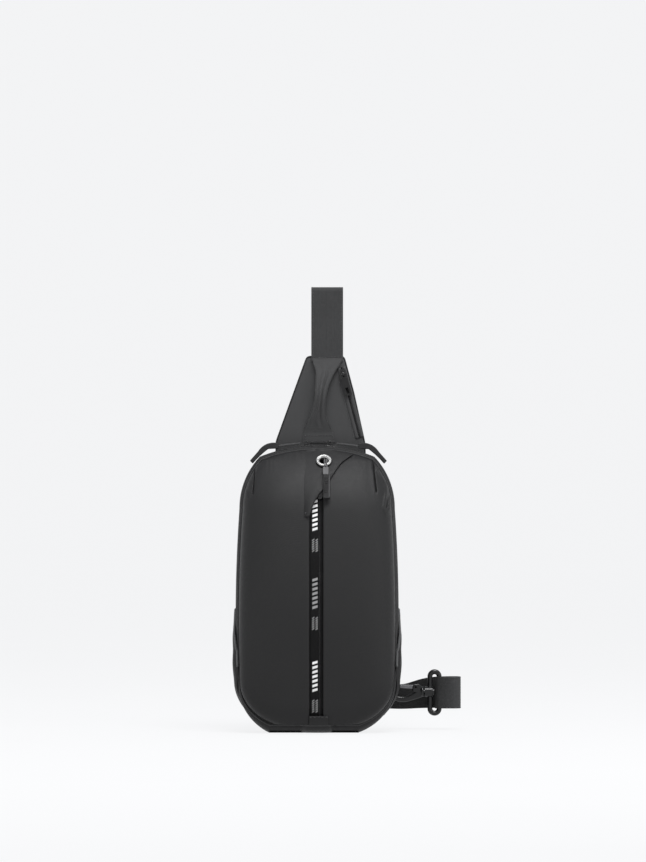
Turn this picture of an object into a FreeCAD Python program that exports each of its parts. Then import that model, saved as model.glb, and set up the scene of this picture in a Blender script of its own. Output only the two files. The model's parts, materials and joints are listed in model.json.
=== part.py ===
import FreeCAD, Part
import math
import os

# Sling bag. Units are millimetres.
# The origin is the centre of the flat base, +Z is up and -Y is the front.

# Body outline in the XZ plane: each arc is given by a point on it and its end
BASE_HALF = 58.0
CORNER_VIA = (80.5, 19.0)
CORNER_END = (94.8, 56.0)
SIDE_VIA = (96.5, 150.0)
SIDE_TOP = (92.0, 265.0)
SHOULDER = (82.5, 306.0)
ARCH_R = 180.0
ARCH_Z = 160.0
ARCH_X = 68.0

# Body depth: two arcs make the front profile
FRONT_Y = -46.0
BACK_Y = 44.0
FRONT_R = 600.0
FRONT_Z = 125.0
CROWN_R = 134.0
CROWN_Z = 260.7
BODY_HALF_MAX = 98.5
PLAN_FRONT = (62.0, -38.0)

# Blocks that divide the body reach well past it
FAR_X = 140.0
FAR_Y = 80.0
FAR_Z = 400.0
BELOW = -5.0

# Shell and seams
WALL = 2.4
FRONT_SEAM_LOW_Y = -18.0
FRONT_SEAM_TOP_Y = 17.0
ZIP_Y = 26.0
ZIP_HALF = 8.0
ZIP_LOW_Z = 100.0
REAR_SEAM_Y = BACK_Y - WALL
PIPING = 1.0
LINING_GAP = 9.0
LINING_WALL = 0.8
PAD_Z = (6.0, 332.0)
POCKET_T = 2.2
POCKET_HALF = 58.0
POCKET_Z = (60.0, 190.0)

# Side pockets: outer face, gap behind it and the binding's two faces, out from the body
SIDE_POCKET_OUT = 3.8
SIDE_POCKET_GAP = 2.4
SIDE_BINDING = (2.5, 4.6)

# Zip sections, measured from the outer face of the tape
TAPE_T = 0.8
SLIT_HALF = 0.8
COIL_W = 1.5
COIL_T = 1.4
SLIDER_LIFT = 0.5
SLIDER_PLATE = 1.4
SLIDER_DROP = 0.6
SLIDER_UNDER_T = 1.0
SLIDER_NOSE = 0.32
NECK_HALF = 0.45
LUG_R = 3.4
LUG_HALF_T = 1.1
LUG_HOLE_R = 1.3
BRIDGE = (3.5, 1.6, 1.0)
PULL_PIN_R = 0.9
PULL_PIN_LIFT = 2.2
LINK_HALF = 4.2
LINK_WIRE = 1.5

# Front zip: a broad left tape, with the slit near the channel's right edge
FRONT_ZIP_X = -1.0
FRONT_SLIT_X = 3.0
FRONT_ZIP_HALF = 8.0
FRONT_ZIP_RECESS = 4.0
FRONT_ZIP_LOW_Z = 15.0
FRONT_ZIP_TOP_Z = 300.0
FRONT_SLIDER_Z = 283.0
CHANNEL_LOW_Z = 13.0
END_TAB_X = (-9.4, 12.9)
END_TAB_Z = (9.5, 21.0)

# Eyelet
EYELET_X = 8.0
EYELET_Z = 320.5
EYELET_R = 9.2
EYELET_HOLE_R = 5.5
BARREL_T = 0.7
FLAP_HOLE_R = 6.4
PANEL_HOLE_R = 7.1
FLAP_LIFT = 2.2
FLAP_T = 1.2

# Front pull: it hangs from a point in front of the flap and lies down the slope
CORD_R = 0.8
CORD_XS = (9.0, 11.4)
PULL_TOP = (-13.5, 314.5)
PULL_LOW = (-33.0, 278.0)
FERRULE_X = 10.2
FERRULE_SIZE = (9.6, 6.2, 3.4)
FRONT_TAB_X = 11.2
FRONT_TAB_SIZE = (31.6, 8.4, 3.8)
FRONT_TAB_ROUND = 1.0

# Main zip sliders, and their pulls measured from the pin in the slider's crown
LEFT_SLIDER_X = -12.0
RIGHT_SLIDER_X = 15.0
MAIN_LINK_REACH = 9.0
MAIN_LINK_DROOP = 0.08
PULL_STRAP_FROM = 7.4
PULL_STRAP_HALF_Y = 2.7
PULL_TAB_FROM = 34.0
PULL_TAB_HALF_Y = 3.8

# Yoke and strap
YOKE_Y = BACK_Y
YOKE_SKIN = 1.2
YOKE_T = 5.2
YOKE_TOP_Z = 447.0
YOKE_LOW_Z = 318.0
STRAP_X = 12.0
STRAP_W = 38.0
STRAP_T = 1.6
STRAP_FRONT_Y = BACK_Y - STRAP_T
STRAP_REAR_Y = 52.0
STRAP_TOP_Z = 530.0
YOKE_ZIP_TOP = (29.0, 434.0)
YOKE_ZIP_END = (51.0, 350.0)
YOKE_ZIP_HALF = 4.2
YOKE_ZIP_FACE = -0.2
YOKE_SLIDER_AT = 8.0
YOKE_LINK_REACH = 6.4
YOKE_TAB = (5.0, 27.0, 8.0, 2.2)
YOKE_TAB_WINDOW = (17.0, 24.0, 4.0)

# Grab handle and its patch
HANDLE_Z = (352.0, 440.0)
HANDLE_BULGE_Y = 33.0
HANDLE_T = 2.4
HANDLE_X = (-7.0, 31.0)
PATCH_X = (-17.0, 22.0)
PATCH_LOW_Z = 343.5
PATCH_T = 1.4

# Strap adjuster
GLIDE_Z = 250.0
GLIDE_HALF = 12.0
GLIDE_BAR = 4.0
GLIDE_T = 2.0
GLIDE_PLAY = 0.6
GLIDE_SIDE_PLAY = 0.8

# Hook and lower strap run
HOOK_Y = 57.0
HOOK_Z = 46.0
HOOK_T = 6.0
RING_X = (132.0, 149.0)
RING_Z = (17.2, 72.8)
RING_BAR_R = 3.0
STRAP_LOW_Z = 26.0
TURN_X = 172.0
RUN_Y = 70.0
WRAP_GAP = 0.3
BOSS_X = (129.0, 138.0)
BOSS_R = 6.5
BOSS_BORE_R = 2.55
STUD_X = (127.6, 138.4)
STUD_R = 2.5
STUD_HEAD = (1.6, 3.9)
COLLAR_X = (124.4, 127.6)
COLLAR_R = 6.4
GATE_PIN = (118.0, 51.5)
GATE_PIN_R = 1.2
GATE_HOLE_R = 1.25
GATE_HALF_T = 1.5
GATE_SLOT_HALF = 1.9
SPRING_ROOM = (0.8, 2.15)
SPRING_R = 1.68
SPRING_WIRE_R = 0.2

# D-rings and the tabs that hold them
D_WIRE_R = 1.5
D_WIDTH = 20.0
D_REACH = 21.0
D_TAPER = 0.92
TAB_HALF_W = 6.4
TAB_HALF_T = 1.0
HOOP_PLAY = 0.35
HOOP_T = 1.2
RIGHT_RING = (79.0, HOOK_Y, HOOK_Z - 0.5)
LEFT_RING = (-68.0, 49.0, 46.0)


def vec(x, y, z):
    return FreeCAD.Vector(x, y, z)


def box(x0, x1, y0, y1, z0, z1):
    return Part.makeBox(x1 - x0, y1 - y0, z1 - z0, vec(x0, y0, z0))


def rod(start, end, radius):
    line = end - start
    return Part.makeCylinder(radius, line.Length, start, line)


def chain(points, close=True):
    """A wire of lines and arcs: each entry is a point, or (via, point) for an arc."""
    edges = []
    here = points[0]
    for entry in points[1:]:
        if isinstance(entry, tuple):
            edges.append(Part.Arc(here, entry[0], entry[1]).toShape())
            here = entry[1]
        else:
            edges.append(Part.LineSegment(here, entry).toShape())
            here = entry
    if close and (here - points[0]).Length > 1e-6:
        edges.append(Part.LineSegment(here, points[0]).toShape())
    return Part.Wire(edges)


def to_plane(points, plane):
    """Turn 2-D points, or pairs of them for arcs, into vectors in a named plane."""
    def make(point):
        if plane == "xz":
            return vec(point[0], 0, point[1])
        if plane == "yz":
            return vec(0, point[0], point[1])
        return vec(point[0], point[1], 0)

    made = []
    for entry in points:
        if isinstance(entry[0], tuple):
            made.append(tuple(make(point) for point in entry))
        else:
            made.append(make(entry))
    return made


def across(plane):
    """The axis that a named plane leaves out."""
    return {"xz": vec(0, 1, 0), "yz": vec(1, 0, 0), "xy": vec(0, 0, 1)}[plane]


def prism(points, plane, low, high, offset=0.0):
    """Extrude a closed outline along the axis that its plane leaves out."""
    face = Part.Face(chain(to_plane(points, plane)))
    if offset:
        face = face.makeOffset2D(offset)
    face.translate(across(plane) * low)
    return face.extrude(across(plane) * (high - low))


def ribbon(points, plane, thickness, low, high):
    """Extrude a band of even thickness that follows an open path."""
    path = chain(to_plane(points, plane), close=False)
    face = path.makeOffset2D(thickness, 0, True, True)
    face.translate(across(plane) * low)
    return face.extrude(across(plane) * (high - low))


def fuse(shapes):
    result = shapes[0]
    if len(shapes) > 1:
        result = shapes[0].fuse(shapes[1:])
    return result.removeSplitter()


def mirrored(points):
    """The left half of an outline, from the top to the bottom, for its right half from the bottom up."""
    left = []
    rights = [entry[-1] if isinstance(entry[0], tuple) else entry for entry in points]
    for index in range(len(points) - 1, 0, -1):
        entry = points[index]
        target = (-rights[index - 1][0], rights[index - 1][1])
        if isinstance(entry[0], tuple):
            left.append(((-entry[0][0], entry[0][1]), target))
        else:
            left.append(target)
    return left


def arch_top():
    return ARCH_Z + math.sqrt(ARCH_R ** 2 - ARCH_X ** 2)


def body_outline():
    right = [
        (BASE_HALF, 0.0),
        (CORNER_VIA, CORNER_END),
        (SIDE_VIA, SIDE_TOP),
        (SHOULDER, (ARCH_X, arch_top())),
    ]
    top = [((0.0, ARCH_Z + ARCH_R), (-ARCH_X, arch_top()))]
    return right + top + mirrored(right)


def front_at(z):
    """Y of the front surface on the bag's middle, above the curved lower edge."""
    if z <= CROWN_Z:
        return FRONT_Y + FRONT_R - math.sqrt(FRONT_R ** 2 - (z - FRONT_Z) ** 2)
    tilt = front_tilt(z)
    start = front_tilt(CROWN_Z)
    return front_at(CROWN_Z) + CROWN_R * (math.cos(start) - math.cos(tilt))


def front_tilt(z):
    """Backward lean of the front surface at a height, in radians."""
    start = math.asin((min(z, CROWN_Z) - FRONT_Z) / FRONT_R)
    if z <= CROWN_Z:
        return start
    return math.asin(math.sin(start) + (z - CROWN_Z) / CROWN_R)


def side_profile():
    """The body's outline in the YZ plane: a rounded lower edge, the front's two arcs and a flat back."""
    low = 40.0
    middle = 305.0
    top = 336.0
    above = ARCH_Z + ARCH_R + 10.0
    return [
        (-22.0, 0.0),
        ((-34.5, 12.0), (front_at(low), low)),
        ((front_at(FRONT_Z), FRONT_Z), (front_at(CROWN_Z), CROWN_Z)),
        ((front_at(middle), middle), (front_at(top), top)),
        (front_at(top), above),
        (BACK_Y, above),
        (BACK_Y, 0.0),
    ]


def plan_profile():
    """The body's widest outline in the XY plane: a bowed front, round shoulders and a flat back."""
    half = BODY_HALF_MAX
    front_x, front_y = PLAN_FRONT
    return [
        (-front_x, front_y),
        ((0.0, FRONT_Y), (front_x, front_y)),
        ((86.0, -27.0), (half, 2.0)),
        (half, 30.0),
        ((94.5, 40.0), (86.0, BACK_Y)),
        (-86.0, BACK_Y),
        ((-94.5, 40.0), (-half, 30.0)),
        (-half, 2.0),
        ((-86.0, -27.0), (-front_x, front_y)),
    ]


def body_block(grow):
    """The bag's outer form, grown outward or shrunk inward by a distance."""
    outline = prism(body_outline(), "xz", -FAR_Y, FAR_Y, grow)
    side = prism(side_profile(), "yz", -FAR_X, FAR_X, grow)
    plan = prism(plan_profile(), "xy", -30.0, FAR_Z, grow)
    return outline.common(side).common(plan)


def layer(inner, outer):
    """The space between two grown copies of the body."""
    return body_block(outer).cut(body_block(inner))


def seam_y(z):
    return FRONT_SEAM_LOW_Y + (FRONT_SEAM_TOP_Y - FRONT_SEAM_LOW_Y) * z / (ARCH_Z + ARCH_R)


def behind_seam(shift, depth):
    """A slab that leans with the front seam."""
    low = -20.0
    high = 380.0
    near = [(seam_y(low) + shift, low), (seam_y(high) + shift, high)]
    far = [(seam_y(high) + shift + depth, high), (seam_y(low) + shift + depth, low)]
    return prism(near + far, "yz", -FAR_X, FAR_X)


def front_region():
    return behind_seam(-120.0, 120.0)


def slab(y0, y1, z0=BELOW, z1=FAR_Z):
    """A block right across the body, between two depths and two heights."""
    return box(-FAR_X, FAR_X, y0, y1, z0, z1)


def zip_channel():
    left = FRONT_ZIP_X - FRONT_ZIP_HALF
    right = FRONT_ZIP_X + FRONT_ZIP_HALF
    return box(left, right, -FAR_Y, 10.0, CHANNEL_LOW_Z, FRONT_ZIP_TOP_Z + 2.0)


def eyelet_axis():
    tilt = front_tilt(EYELET_Z)
    return vec(0, -math.cos(tilt), math.sin(tilt))


def eyelet_point(down, out, x=EYELET_X):
    """A point near the eyelet, from its distance down the slope and out of the surface."""
    tilt = front_tilt(EYELET_Z)
    y = front_at(EYELET_Z) - down * math.sin(tilt) - out * math.cos(tilt)
    z = EYELET_Z - down * math.cos(tilt) + out * math.sin(tilt)
    return vec(x, y, z)


def body_parts():
    shell = layer(-WALL, 0.0)
    front = shell.common(front_region()).cut(zip_channel())
    front = front.cut(rod(eyelet_point(0, -8.0), eyelet_point(0, 8.0), PANEL_HOLE_R))
    left = box(-FAR_X, FRONT_ZIP_X, -FAR_Y, FAR_Y, BELOW, FAR_Z)
    right = box(FRONT_ZIP_X, FAR_X, -FAR_Y, FAR_Y, BELOW, FAR_Z)
    floor = box(-BASE_HALF, BASE_HALF, -FAR_Y, REAR_SEAM_Y, BELOW, WALL)
    rest = shell.cut(front_region())
    zip_front_y = ZIP_Y - ZIP_HALF
    zip_rear_y = ZIP_Y + ZIP_HALF
    gusset = rest.common(slab(-FAR_Y, zip_rear_y)).cut(floor)
    gusset = gusset.cut(slab(zip_front_y, zip_rear_y + 1.0, ZIP_LOW_Z))
    inner = body_block(-WALL)
    lining_y = BACK_Y - LINING_GAP
    pocket_y = lining_y - LINING_WALL
    edge = layer(0.0, PIPING)
    return {
        "front_panel_left": front.common(left),
        "front_panel_right": front.common(right),
        "base_panel": rest.common(floor),
        "front_gusset": gusset,
        "rear_gusset": rest.common(slab(zip_rear_y, REAR_SEAM_Y)).cut(floor),
        "back_panel": rest.common(slab(REAR_SEAM_Y, FAR_Y)),
        "back_foam_pad": inner.common(slab(lining_y, REAR_SEAM_Y, *PAD_Z)),
        "lining": layer(-LINING_GAP - LINING_WALL, -LINING_GAP),
        "inner_pocket": box(-POCKET_HALF, POCKET_HALF, pocket_y - POCKET_T, pocket_y, *POCKET_Z),
        "piping_front": edge.common(behind_seam(-1.2, 2.4)).common(slab(-FAR_Y, FAR_Y, 0.4)),
        "piping_rear": edge.common(slab(REAR_SEAM_Y - 1.4, REAR_SEAM_Y + 1.2, PIPING)),
    }


def side_pocket_parts():
    """A flat pocket on each lower side, open along a slanted front edge that a binding finishes."""
    region = [(8.0, 20.0), (34.0, 20.0), (34.0, 146.0), (24.0, 146.0), (-4.0, 90.0), (-4.0, 60.0)]
    gap = [(10.0, 60.0), (32.0, 30.0), (32.0, 147.0), (24.5, 147.5), (-6.0, 87.0), (-5.0, 62.0)]
    edge = [(23.0, 149.0), (27.0, 149.0), (-1.0, 90.0), (-6.0, 90.0)]
    parts = {}
    bindings = []
    for side, low, high in (("left", -FAR_X, -70.0), ("right", 70.0, FAR_X)):
        wall = layer(0.0, SIDE_POCKET_OUT).common(prism(region, "yz", low, high))
        wall = wall.cut(layer(0.0, SIDE_POCKET_GAP).common(prism(gap, "yz", low, high)))
        binding = layer(*SIDE_BINDING).common(prism(edge, "yz", low, high))
        parts["side_pocket_" + side] = wall.cut(binding)
        bindings.append(binding)
    parts["side_pocket_bindings"] = Part.makeCompound(bindings)
    return parts


def arc_band(centre, radius, thickness, angles, plane, low, high):
    """A curved strip: part of a ring, from its outer radius inward, extruded across its plane."""
    def at(r, angle):
        if plane == "xz":
            return (centre[0] + r * math.sin(angle), centre[1] + r * math.cos(angle))
        return (centre[0] - r * math.cos(angle), centre[1] + r * math.sin(angle))
    mid = (angles[0] + angles[1]) / 2
    inner = radius - thickness
    outward = [at(radius, angles[0]), (at(radius, mid), at(radius, angles[1]))]
    inward = [at(inner, angles[1]), (at(inner, mid), at(inner, angles[0]))]
    return prism(outward + inward, plane, low, high)


def outline_band(outer, inner, y0, y1):
    """A strip that follows the bag's outline from one side, over the top, to the other."""
    band = prism(body_outline(), "xz", y0, y1, -outer)
    band = band.cut(prism(body_outline(), "xz", y0 - 1.0, y1 + 1.0, -inner))
    return band.common(slab(y0, y1, ZIP_LOW_Z))


def slider_body(length, width, crown):
    """A slider in its own frame: X is the travel, Z points out and 0 is the tape's outer face."""
    under = -TAPE_T - COIL_T - SLIDER_DROP
    half = length / 2
    side = width / 2
    nose = width * SLIDER_NOSE
    near = [(-half, -nose), (-half / 2, -side), (half, -side)]
    far = [(half, side), (-half / 2, side), (-half, nose)]
    face = SLIDER_LIFT + SLIDER_PLATE
    shapes = [prism(near + far, "xy", SLIDER_LIFT, face),
              box(-half, half, -side, side, under - SLIDER_UNDER_T, under),
              box(1.0 - half, half - 1.0, -NECK_HALF, NECK_HALF, under, SLIDER_LIFT)]
    if crown:
        shapes.append(slider_lug(face))
    else:
        reach, half_width, height = BRIDGE
        shapes.append(box(-reach, reach, -half_width, half_width, face, face + height))
    return fuse(shapes)


def slider_lug(face):
    """The lug on a slider's face, with a hole for the pull's pin."""
    pin_z = face + PULL_PIN_LIFT
    post = box(-LUG_R, LUG_R, -LUG_HALF_T, LUG_HALF_T, face, pin_z)
    hoop = rod(vec(0, -LUG_HALF_T, pin_z), vec(0, LUG_HALF_T, pin_z), LUG_R)
    hole = rod(vec(0, -LUG_HALF_T - 1.0, pin_z), vec(0, LUG_HALF_T + 1.0, pin_z), LUG_HOLE_R)
    below = box(-5.0, 5.0, -3.0, 3.0, -3.0, face)
    return post.fuse(hoop).cut(below).cut(hole)


def crown_height():
    return SLIDER_LIFT + SLIDER_PLATE + PULL_PIN_LIFT


def placed(shape, origin, x_axis, z_axis):
    """Move a shape from its own frame to an origin with the given travel and outward directions."""
    x_axis = vec(*x_axis).normalize()
    z_axis = vec(*z_axis).normalize()
    y_axis = z_axis.cross(x_axis)
    matrix = FreeCAD.Matrix(x_axis.x, y_axis.x, z_axis.x, origin.x,
                            x_axis.y, y_axis.y, z_axis.y, origin.y,
                            x_axis.z, y_axis.z, z_axis.z, origin.z, 0, 0, 0, 1)
    copy = shape.copy()
    copy.transformShape(matrix)
    return copy


def pull_link(reach):
    """A wire loop: a pin through the slider's crown, two arms and a crossbar that holds the pull."""
    half = LINK_HALF
    thin = LINK_WIRE / 2
    frame = box(-thin, reach + thin, -half, half, -thin, thin)
    window = box(-LINK_WIRE, reach - thin, LINK_WIRE - half, half - LINK_WIRE, -LINK_WIRE, LINK_WIRE)
    pin = rod(vec(0, thin - half, 0), vec(0, half - thin, 0), PULL_PIN_R)
    return fuse([frame.cut(window), pin])


def main_zip_parts():
    face = 0.6
    under = face + TAPE_T
    deep = under + COIL_T
    near = (ZIP_Y - ZIP_HALF, ZIP_Y - SLIT_HALF)
    far = (ZIP_Y + SLIT_HALF, ZIP_Y + ZIP_HALF)
    near_coil = (ZIP_Y - SLIT_HALF - COIL_W, ZIP_Y - SLIT_HALF)
    far_coil = (ZIP_Y + SLIT_HALF, ZIP_Y + SLIT_HALF + COIL_W)
    parts = {
        "main_zip_tapes": Part.makeCompound([outline_band(face, under, *near),
                                             outline_band(face, under, *far)]),
        "main_zip_coil": Part.makeCompound([outline_band(under, deep, *near_coil),
                                            outline_band(under, deep, *far_coil)]),
    }
    centre = vec(0, ZIP_Y, ARCH_Z)
    for side, x, sign in (("left", LEFT_SLIDER_X, -1), ("right", RIGHT_SLIDER_X, 1)):
        angle = math.asin(x / ARCH_R)
        out = (math.sin(angle), 0, math.cos(angle))
        along = (sign * math.cos(angle), 0, -sign * math.sin(angle))
        seat = centre + vec(*out) * (ARCH_R - face)
        pivot = centre + vec(*out) * (ARCH_R - face + crown_height())
        link = placed(pull_link(MAIN_LINK_REACH), pivot,
                      (sign, 0, -MAIN_LINK_DROOP), (sign * MAIN_LINK_DROOP, 0, 1))
        parts["main_slider_" + side] = placed(slider_body(15.0, 10.0, True), seat, along, out)
        parts["main_pull_link_" + side] = link
        parts["main_pull_strap_" + side] = pull_strap(pivot, sign).cut(link)
        parts["main_pull_tab_" + side] = pull_tab(pivot, sign)
    return parts


def beside(pivot, sign):
    """A function that places a point by its distance out from a pivot and above it."""
    return lambda out, up: (pivot.x + sign * out, pivot.z + up)


def pull_strap(pivot, sign):
    """A flat strap from the link to the moulded tab."""
    at = beside(pivot, sign)
    near = [at(PULL_STRAP_FROM, -1.5), at(PULL_STRAP_FROM, 1.2)]
    far = [at(PULL_TAB_FROM, -1.6), at(PULL_TAB_FROM, -4.6)]
    return prism(near + far, "xz", ZIP_Y - PULL_STRAP_HALF_Y, ZIP_Y + PULL_STRAP_HALF_Y)


def pull_tab(pivot, sign):
    """A stiff moulded tab that bends down over the bag's shoulder."""
    at = beside(pivot, sign)
    upper = [at(PULL_TAB_FROM, 0.4), (at(48.0, -0.6), at(58.0, -9.2)), at(68.0, -20.5)]
    lower = [at(64.5, -24.0), (at(55.0, -14.0), at(46.0, -6.6)), at(PULL_TAB_FROM, -6.0)]
    return prism(upper + lower, "xz", ZIP_Y - PULL_TAB_HALF_Y, ZIP_Y + PULL_TAB_HALF_Y)


def span(middle, side, reach):
    """The stretch from the zip's slit out to a distance, on one side."""
    return tuple(sorted((middle + side * SLIT_HALF, middle + side * reach)))


def front_zip_parts():
    centre = (FRONT_Y + FRONT_R, FRONT_Z)
    radius = FRONT_R - FRONT_ZIP_RECESS
    angles = tuple(math.asin((z - FRONT_Z) / radius) for z in (FRONT_ZIP_LOW_Z, FRONT_ZIP_TOP_Z))
    under = radius - TAPE_T
    tapes = []
    coils = []
    for side in (-1, 1):
        edge = FRONT_ZIP_X + side * (FRONT_ZIP_HALF - 0.2)
        tape_span = sorted((FRONT_SLIT_X + side * SLIT_HALF, edge))
        coil_span = span(FRONT_SLIT_X, side, SLIT_HALF + COIL_W)
        tapes.append(arc_band(centre, radius, TAPE_T, angles, "yz", *tape_span))
        coils.append(arc_band(centre, under, COIL_T, angles, "yz", *coil_span))
    angle = math.asin((FRONT_SLIDER_Z - FRONT_Z) / radius)
    out = (0, -math.cos(angle), math.sin(angle))
    along = (0, math.sin(angle), math.cos(angle))
    seat = vec(FRONT_SLIT_X, centre[0] - radius * math.cos(angle), FRONT_SLIDER_Z)
    return {
        "front_zip_tapes": Part.makeCompound(tapes),
        "front_zip_coil": Part.makeCompound(coils),
        "front_slider": placed(slider_body(12.0, 7.4, False), seat, along, out),
        "front_zip_end_tab": layer(0.2, 2.2).common(box(*END_TAB_X, -FAR_Y, 0.0, *END_TAB_Z)),
    }


def flap_parts():
    """The flap over the front zip's upper end, with the eyelet and its washer."""
    shape = [(-15.0, 333.0), (-15.0, 257.0), (-9.3, 257.0), ((-3.5, 274.0), (6.4, 288.0)),
             ((21.5, 311.0), (43.0, 331.0)), (43.0, 333.0)]
    seam = [(-15.0, 333.0), (-15.0, 257.0), (-12.5, 257.0), (-12.5, 330.5), (40.0, 330.5), (43.0, 333.0)]
    top = FLAP_LIFT + FLAP_T
    flap = layer(FLAP_LIFT, top).common(prism(shape, "xz", -70.0, 20.0))
    allowance = layer(0.0, FLAP_LIFT).common(prism(seam, "xz", -70.0, 20.0)).common(front_region())
    hole = rod(eyelet_point(0, -9.0), eyelet_point(0, 9.0), FLAP_HOLE_R)
    under = eyelet_point(0, FLAP_LIFT - 1.2)
    return {
        "eyelet_flap": flap.fuse(allowance).cut(hole),
        "eyelet": eyelet_ring(top),
        "eyelet_washer": tube(under, eyelet_point(0, FLAP_LIFT - 0.4), EYELET_R - 1.6, FLAP_HOLE_R),
    }


def tube(start, end, outer, inner):
    line = end - start
    return rod(start, end, outer).cut(rod(start - line, end + line, inner))


def eyelet_ring(top):
    """A flanged eyelet: a barrel through the flap and a rounded rim that lies on it."""
    axis = eyelet_axis()
    barrel = tube(eyelet_point(0, -1.5), eyelet_point(0, top + 0.4), EYELET_HOLE_R + BARREL_T, EYELET_HOLE_R)
    rim_r = (EYELET_R + EYELET_HOLE_R) / 2
    rim = Part.makeTorus(rim_r, EYELET_R - rim_r, eyelet_point(0, top + 0.25), axis)
    below = rod(eyelet_point(0, top - 6.0), eyelet_point(0, top + 0.15), EYELET_R + 2.0)
    return barrel.fuse(rim.cut(below)).removeSplitter()


def bent_tube(points, radius):
    """A tube along straight runs with round joints."""
    shapes = [rod(a, b, radius) for a, b in zip(points, points[1:])]
    shapes += [Part.makeSphere(radius, p) for p in points[1:-1]]
    return fuse(shapes)


def front_pull_parts():
    """A cord loop out of the eyelet, a ferrule and a flat tab that lies down the flap."""
    strands = []
    for x in CORD_XS:
        route = [eyelet_point(down, out, x) for down, out in ((-0.5, 2.4), (1.0, 6.4), (5.0, 8.0))]
        strands.append(bent_tube(route + [vec(x, *PULL_TOP)], CORD_R))
    down = (vec(0, *PULL_LOW) - vec(0, *PULL_TOP)).normalize()
    axes = ((0, down.y, down.z), (0, down.z, -down.y))
    length, width, thickness = FERRULE_SIZE
    ferrule = box(0.0, length, -width / 2, width / 2, -thickness / 2, thickness / 2)
    ferrule = placed(ferrule, vec(FERRULE_X, *PULL_TOP), *axes)
    tab = placed(pull_tab_flat(), vec(FRONT_TAB_X, *PULL_TOP) + down * length, *axes)
    strands = [strand.cut(ferrule) for strand in strands]
    return {
        "front_pull_cord": Part.makeCompound(strands),
        "front_pull_ferrule": ferrule,
        "front_pull_tab": tab,
    }


def pull_tab_flat():
    length, width, thickness = FRONT_TAB_SIZE
    tab = box(0.0, length, -width / 2, width / 2, -thickness / 2, thickness / 2)
    return tab.makeFillet(FRONT_TAB_ROUND, [edge for edge in tab.Edges if abs(edge.tangentAt(0).x) > 0.9])


def yoke_outline():
    right = [(57.5, YOKE_LOW_Z), (57.0, 343.0), (43.5, 404.0), (32.0, YOKE_TOP_Z)]
    left = [(-12.0, YOKE_TOP_Z), (-49.0, 345.0), (-49.0, YOKE_LOW_Z)]
    return right + left


def yoke_zip_frame():
    top = vec(YOKE_ZIP_TOP[0], YOKE_Y, YOKE_ZIP_TOP[1])
    end = vec(YOKE_ZIP_END[0], YOKE_Y, YOKE_ZIP_END[1])
    along = (end - top).normalize()
    return top, (along.x, 0, along.z), (end - top).Length


def yoke_parts():
    back = YOKE_Y + YOKE_T
    foam_y = YOKE_Y + YOKE_SKIN
    top, along, length = yoke_zip_frame()
    zip_frame = dict(origin=top, x_axis=along, z_axis=(0, -1, 0))
    slot_half = YOKE_ZIP_HALF + 0.2
    slot = placed(box(0, length, -slot_half, slot_half, YOKE_SKIN - YOKE_T, 1.0), **zip_frame)
    face = YOKE_ZIP_FACE
    under = face - TAPE_T
    tapes = [box(0, length, *span(0.0, side, YOKE_ZIP_HALF), under, face) for side in (-1, 1)]
    coils = [box(0, length, *span(0.0, side, SLIT_HALF + COIL_W), under - COIL_T, under) for side in (-1, 1)]
    slider = slider_body(12.0, 7.6, True)
    slider.translate(vec(YOKE_SLIDER_AT, 0, face))
    pivot = vec(YOKE_SLIDER_AT, 0, face + crown_height())
    link = pull_link(YOKE_LINK_REACH)
    link.translate(pivot)
    tab = yoke_tab()
    tab.translate(pivot)
    return {
        "yoke_front_panel": prism(yoke_outline(), "xz", YOKE_Y, foam_y).cut(slot),
        "yoke_foam": prism(yoke_outline(), "xz", foam_y, back - YOKE_SKIN).cut(slot),
        "yoke_back_panel": prism(yoke_outline(), "xz", back - YOKE_SKIN, back),
        "yoke_zip_tape": placed(Part.makeCompound(tapes), **zip_frame),
        "yoke_zip_coil": placed(Part.makeCompound(coils), **zip_frame),
        "yoke_slider": placed(slider, **zip_frame),
        "yoke_pull_link": placed(link, **zip_frame),
        "yoke_pull_tab": placed(tab.cut(link), **zip_frame),
    }


def yoke_tab():
    """The yoke zip's flat pull, with a window near its end."""
    start, end, width, thickness = YOKE_TAB
    window_start, window_end, window_width = YOKE_TAB_WINDOW
    tab = box(start, end, -width / 2, width / 2, -thickness / 2, thickness / 2)
    return tab.cut(box(window_start, window_end, -window_width / 2, window_width / 2, -thickness, thickness))


def handle_parts():
    """A grab handle that gathers to a narrow band, with its sewn patch below."""
    low, high = HANDLE_Z
    left, right = HANDLE_X
    middle = (low + high) / 2
    end = HANDLE_T + 0.2
    arc = [(YOKE_Y, low), ((HANDLE_BULGE_Y, middle), (YOKE_Y, high))]
    inner = [(YOKE_Y, low + end), ((HANDLE_BULGE_Y + HANDLE_T, middle), (YOKE_Y, high - end))]
    band = prism(arc, "yz", -60.0, 60.0).cut(prism(inner, "yz", -61.0, 61.0))
    waist = [(left, high + 1.0), (right, high + 1.0), ((15.5, 412.0), (10.5, 395.0)),
             ((13.0, 372.0), (PATCH_X[1], low - 1.0)), (PATCH_X[0], low - 1.0),
             ((-6.0, 374.0), (-2.5, 395.0)), ((-3.5, 418.0), (left, high + 1.0))]
    patch = box(*PATCH_X, YOKE_Y - PATCH_T, YOKE_Y, PATCH_LOW_Z, low - 0.2)
    return {"grab_handle": band.common(prism(waist, "xz", 0.0, 60.0)), "handle_patch": patch}


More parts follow.
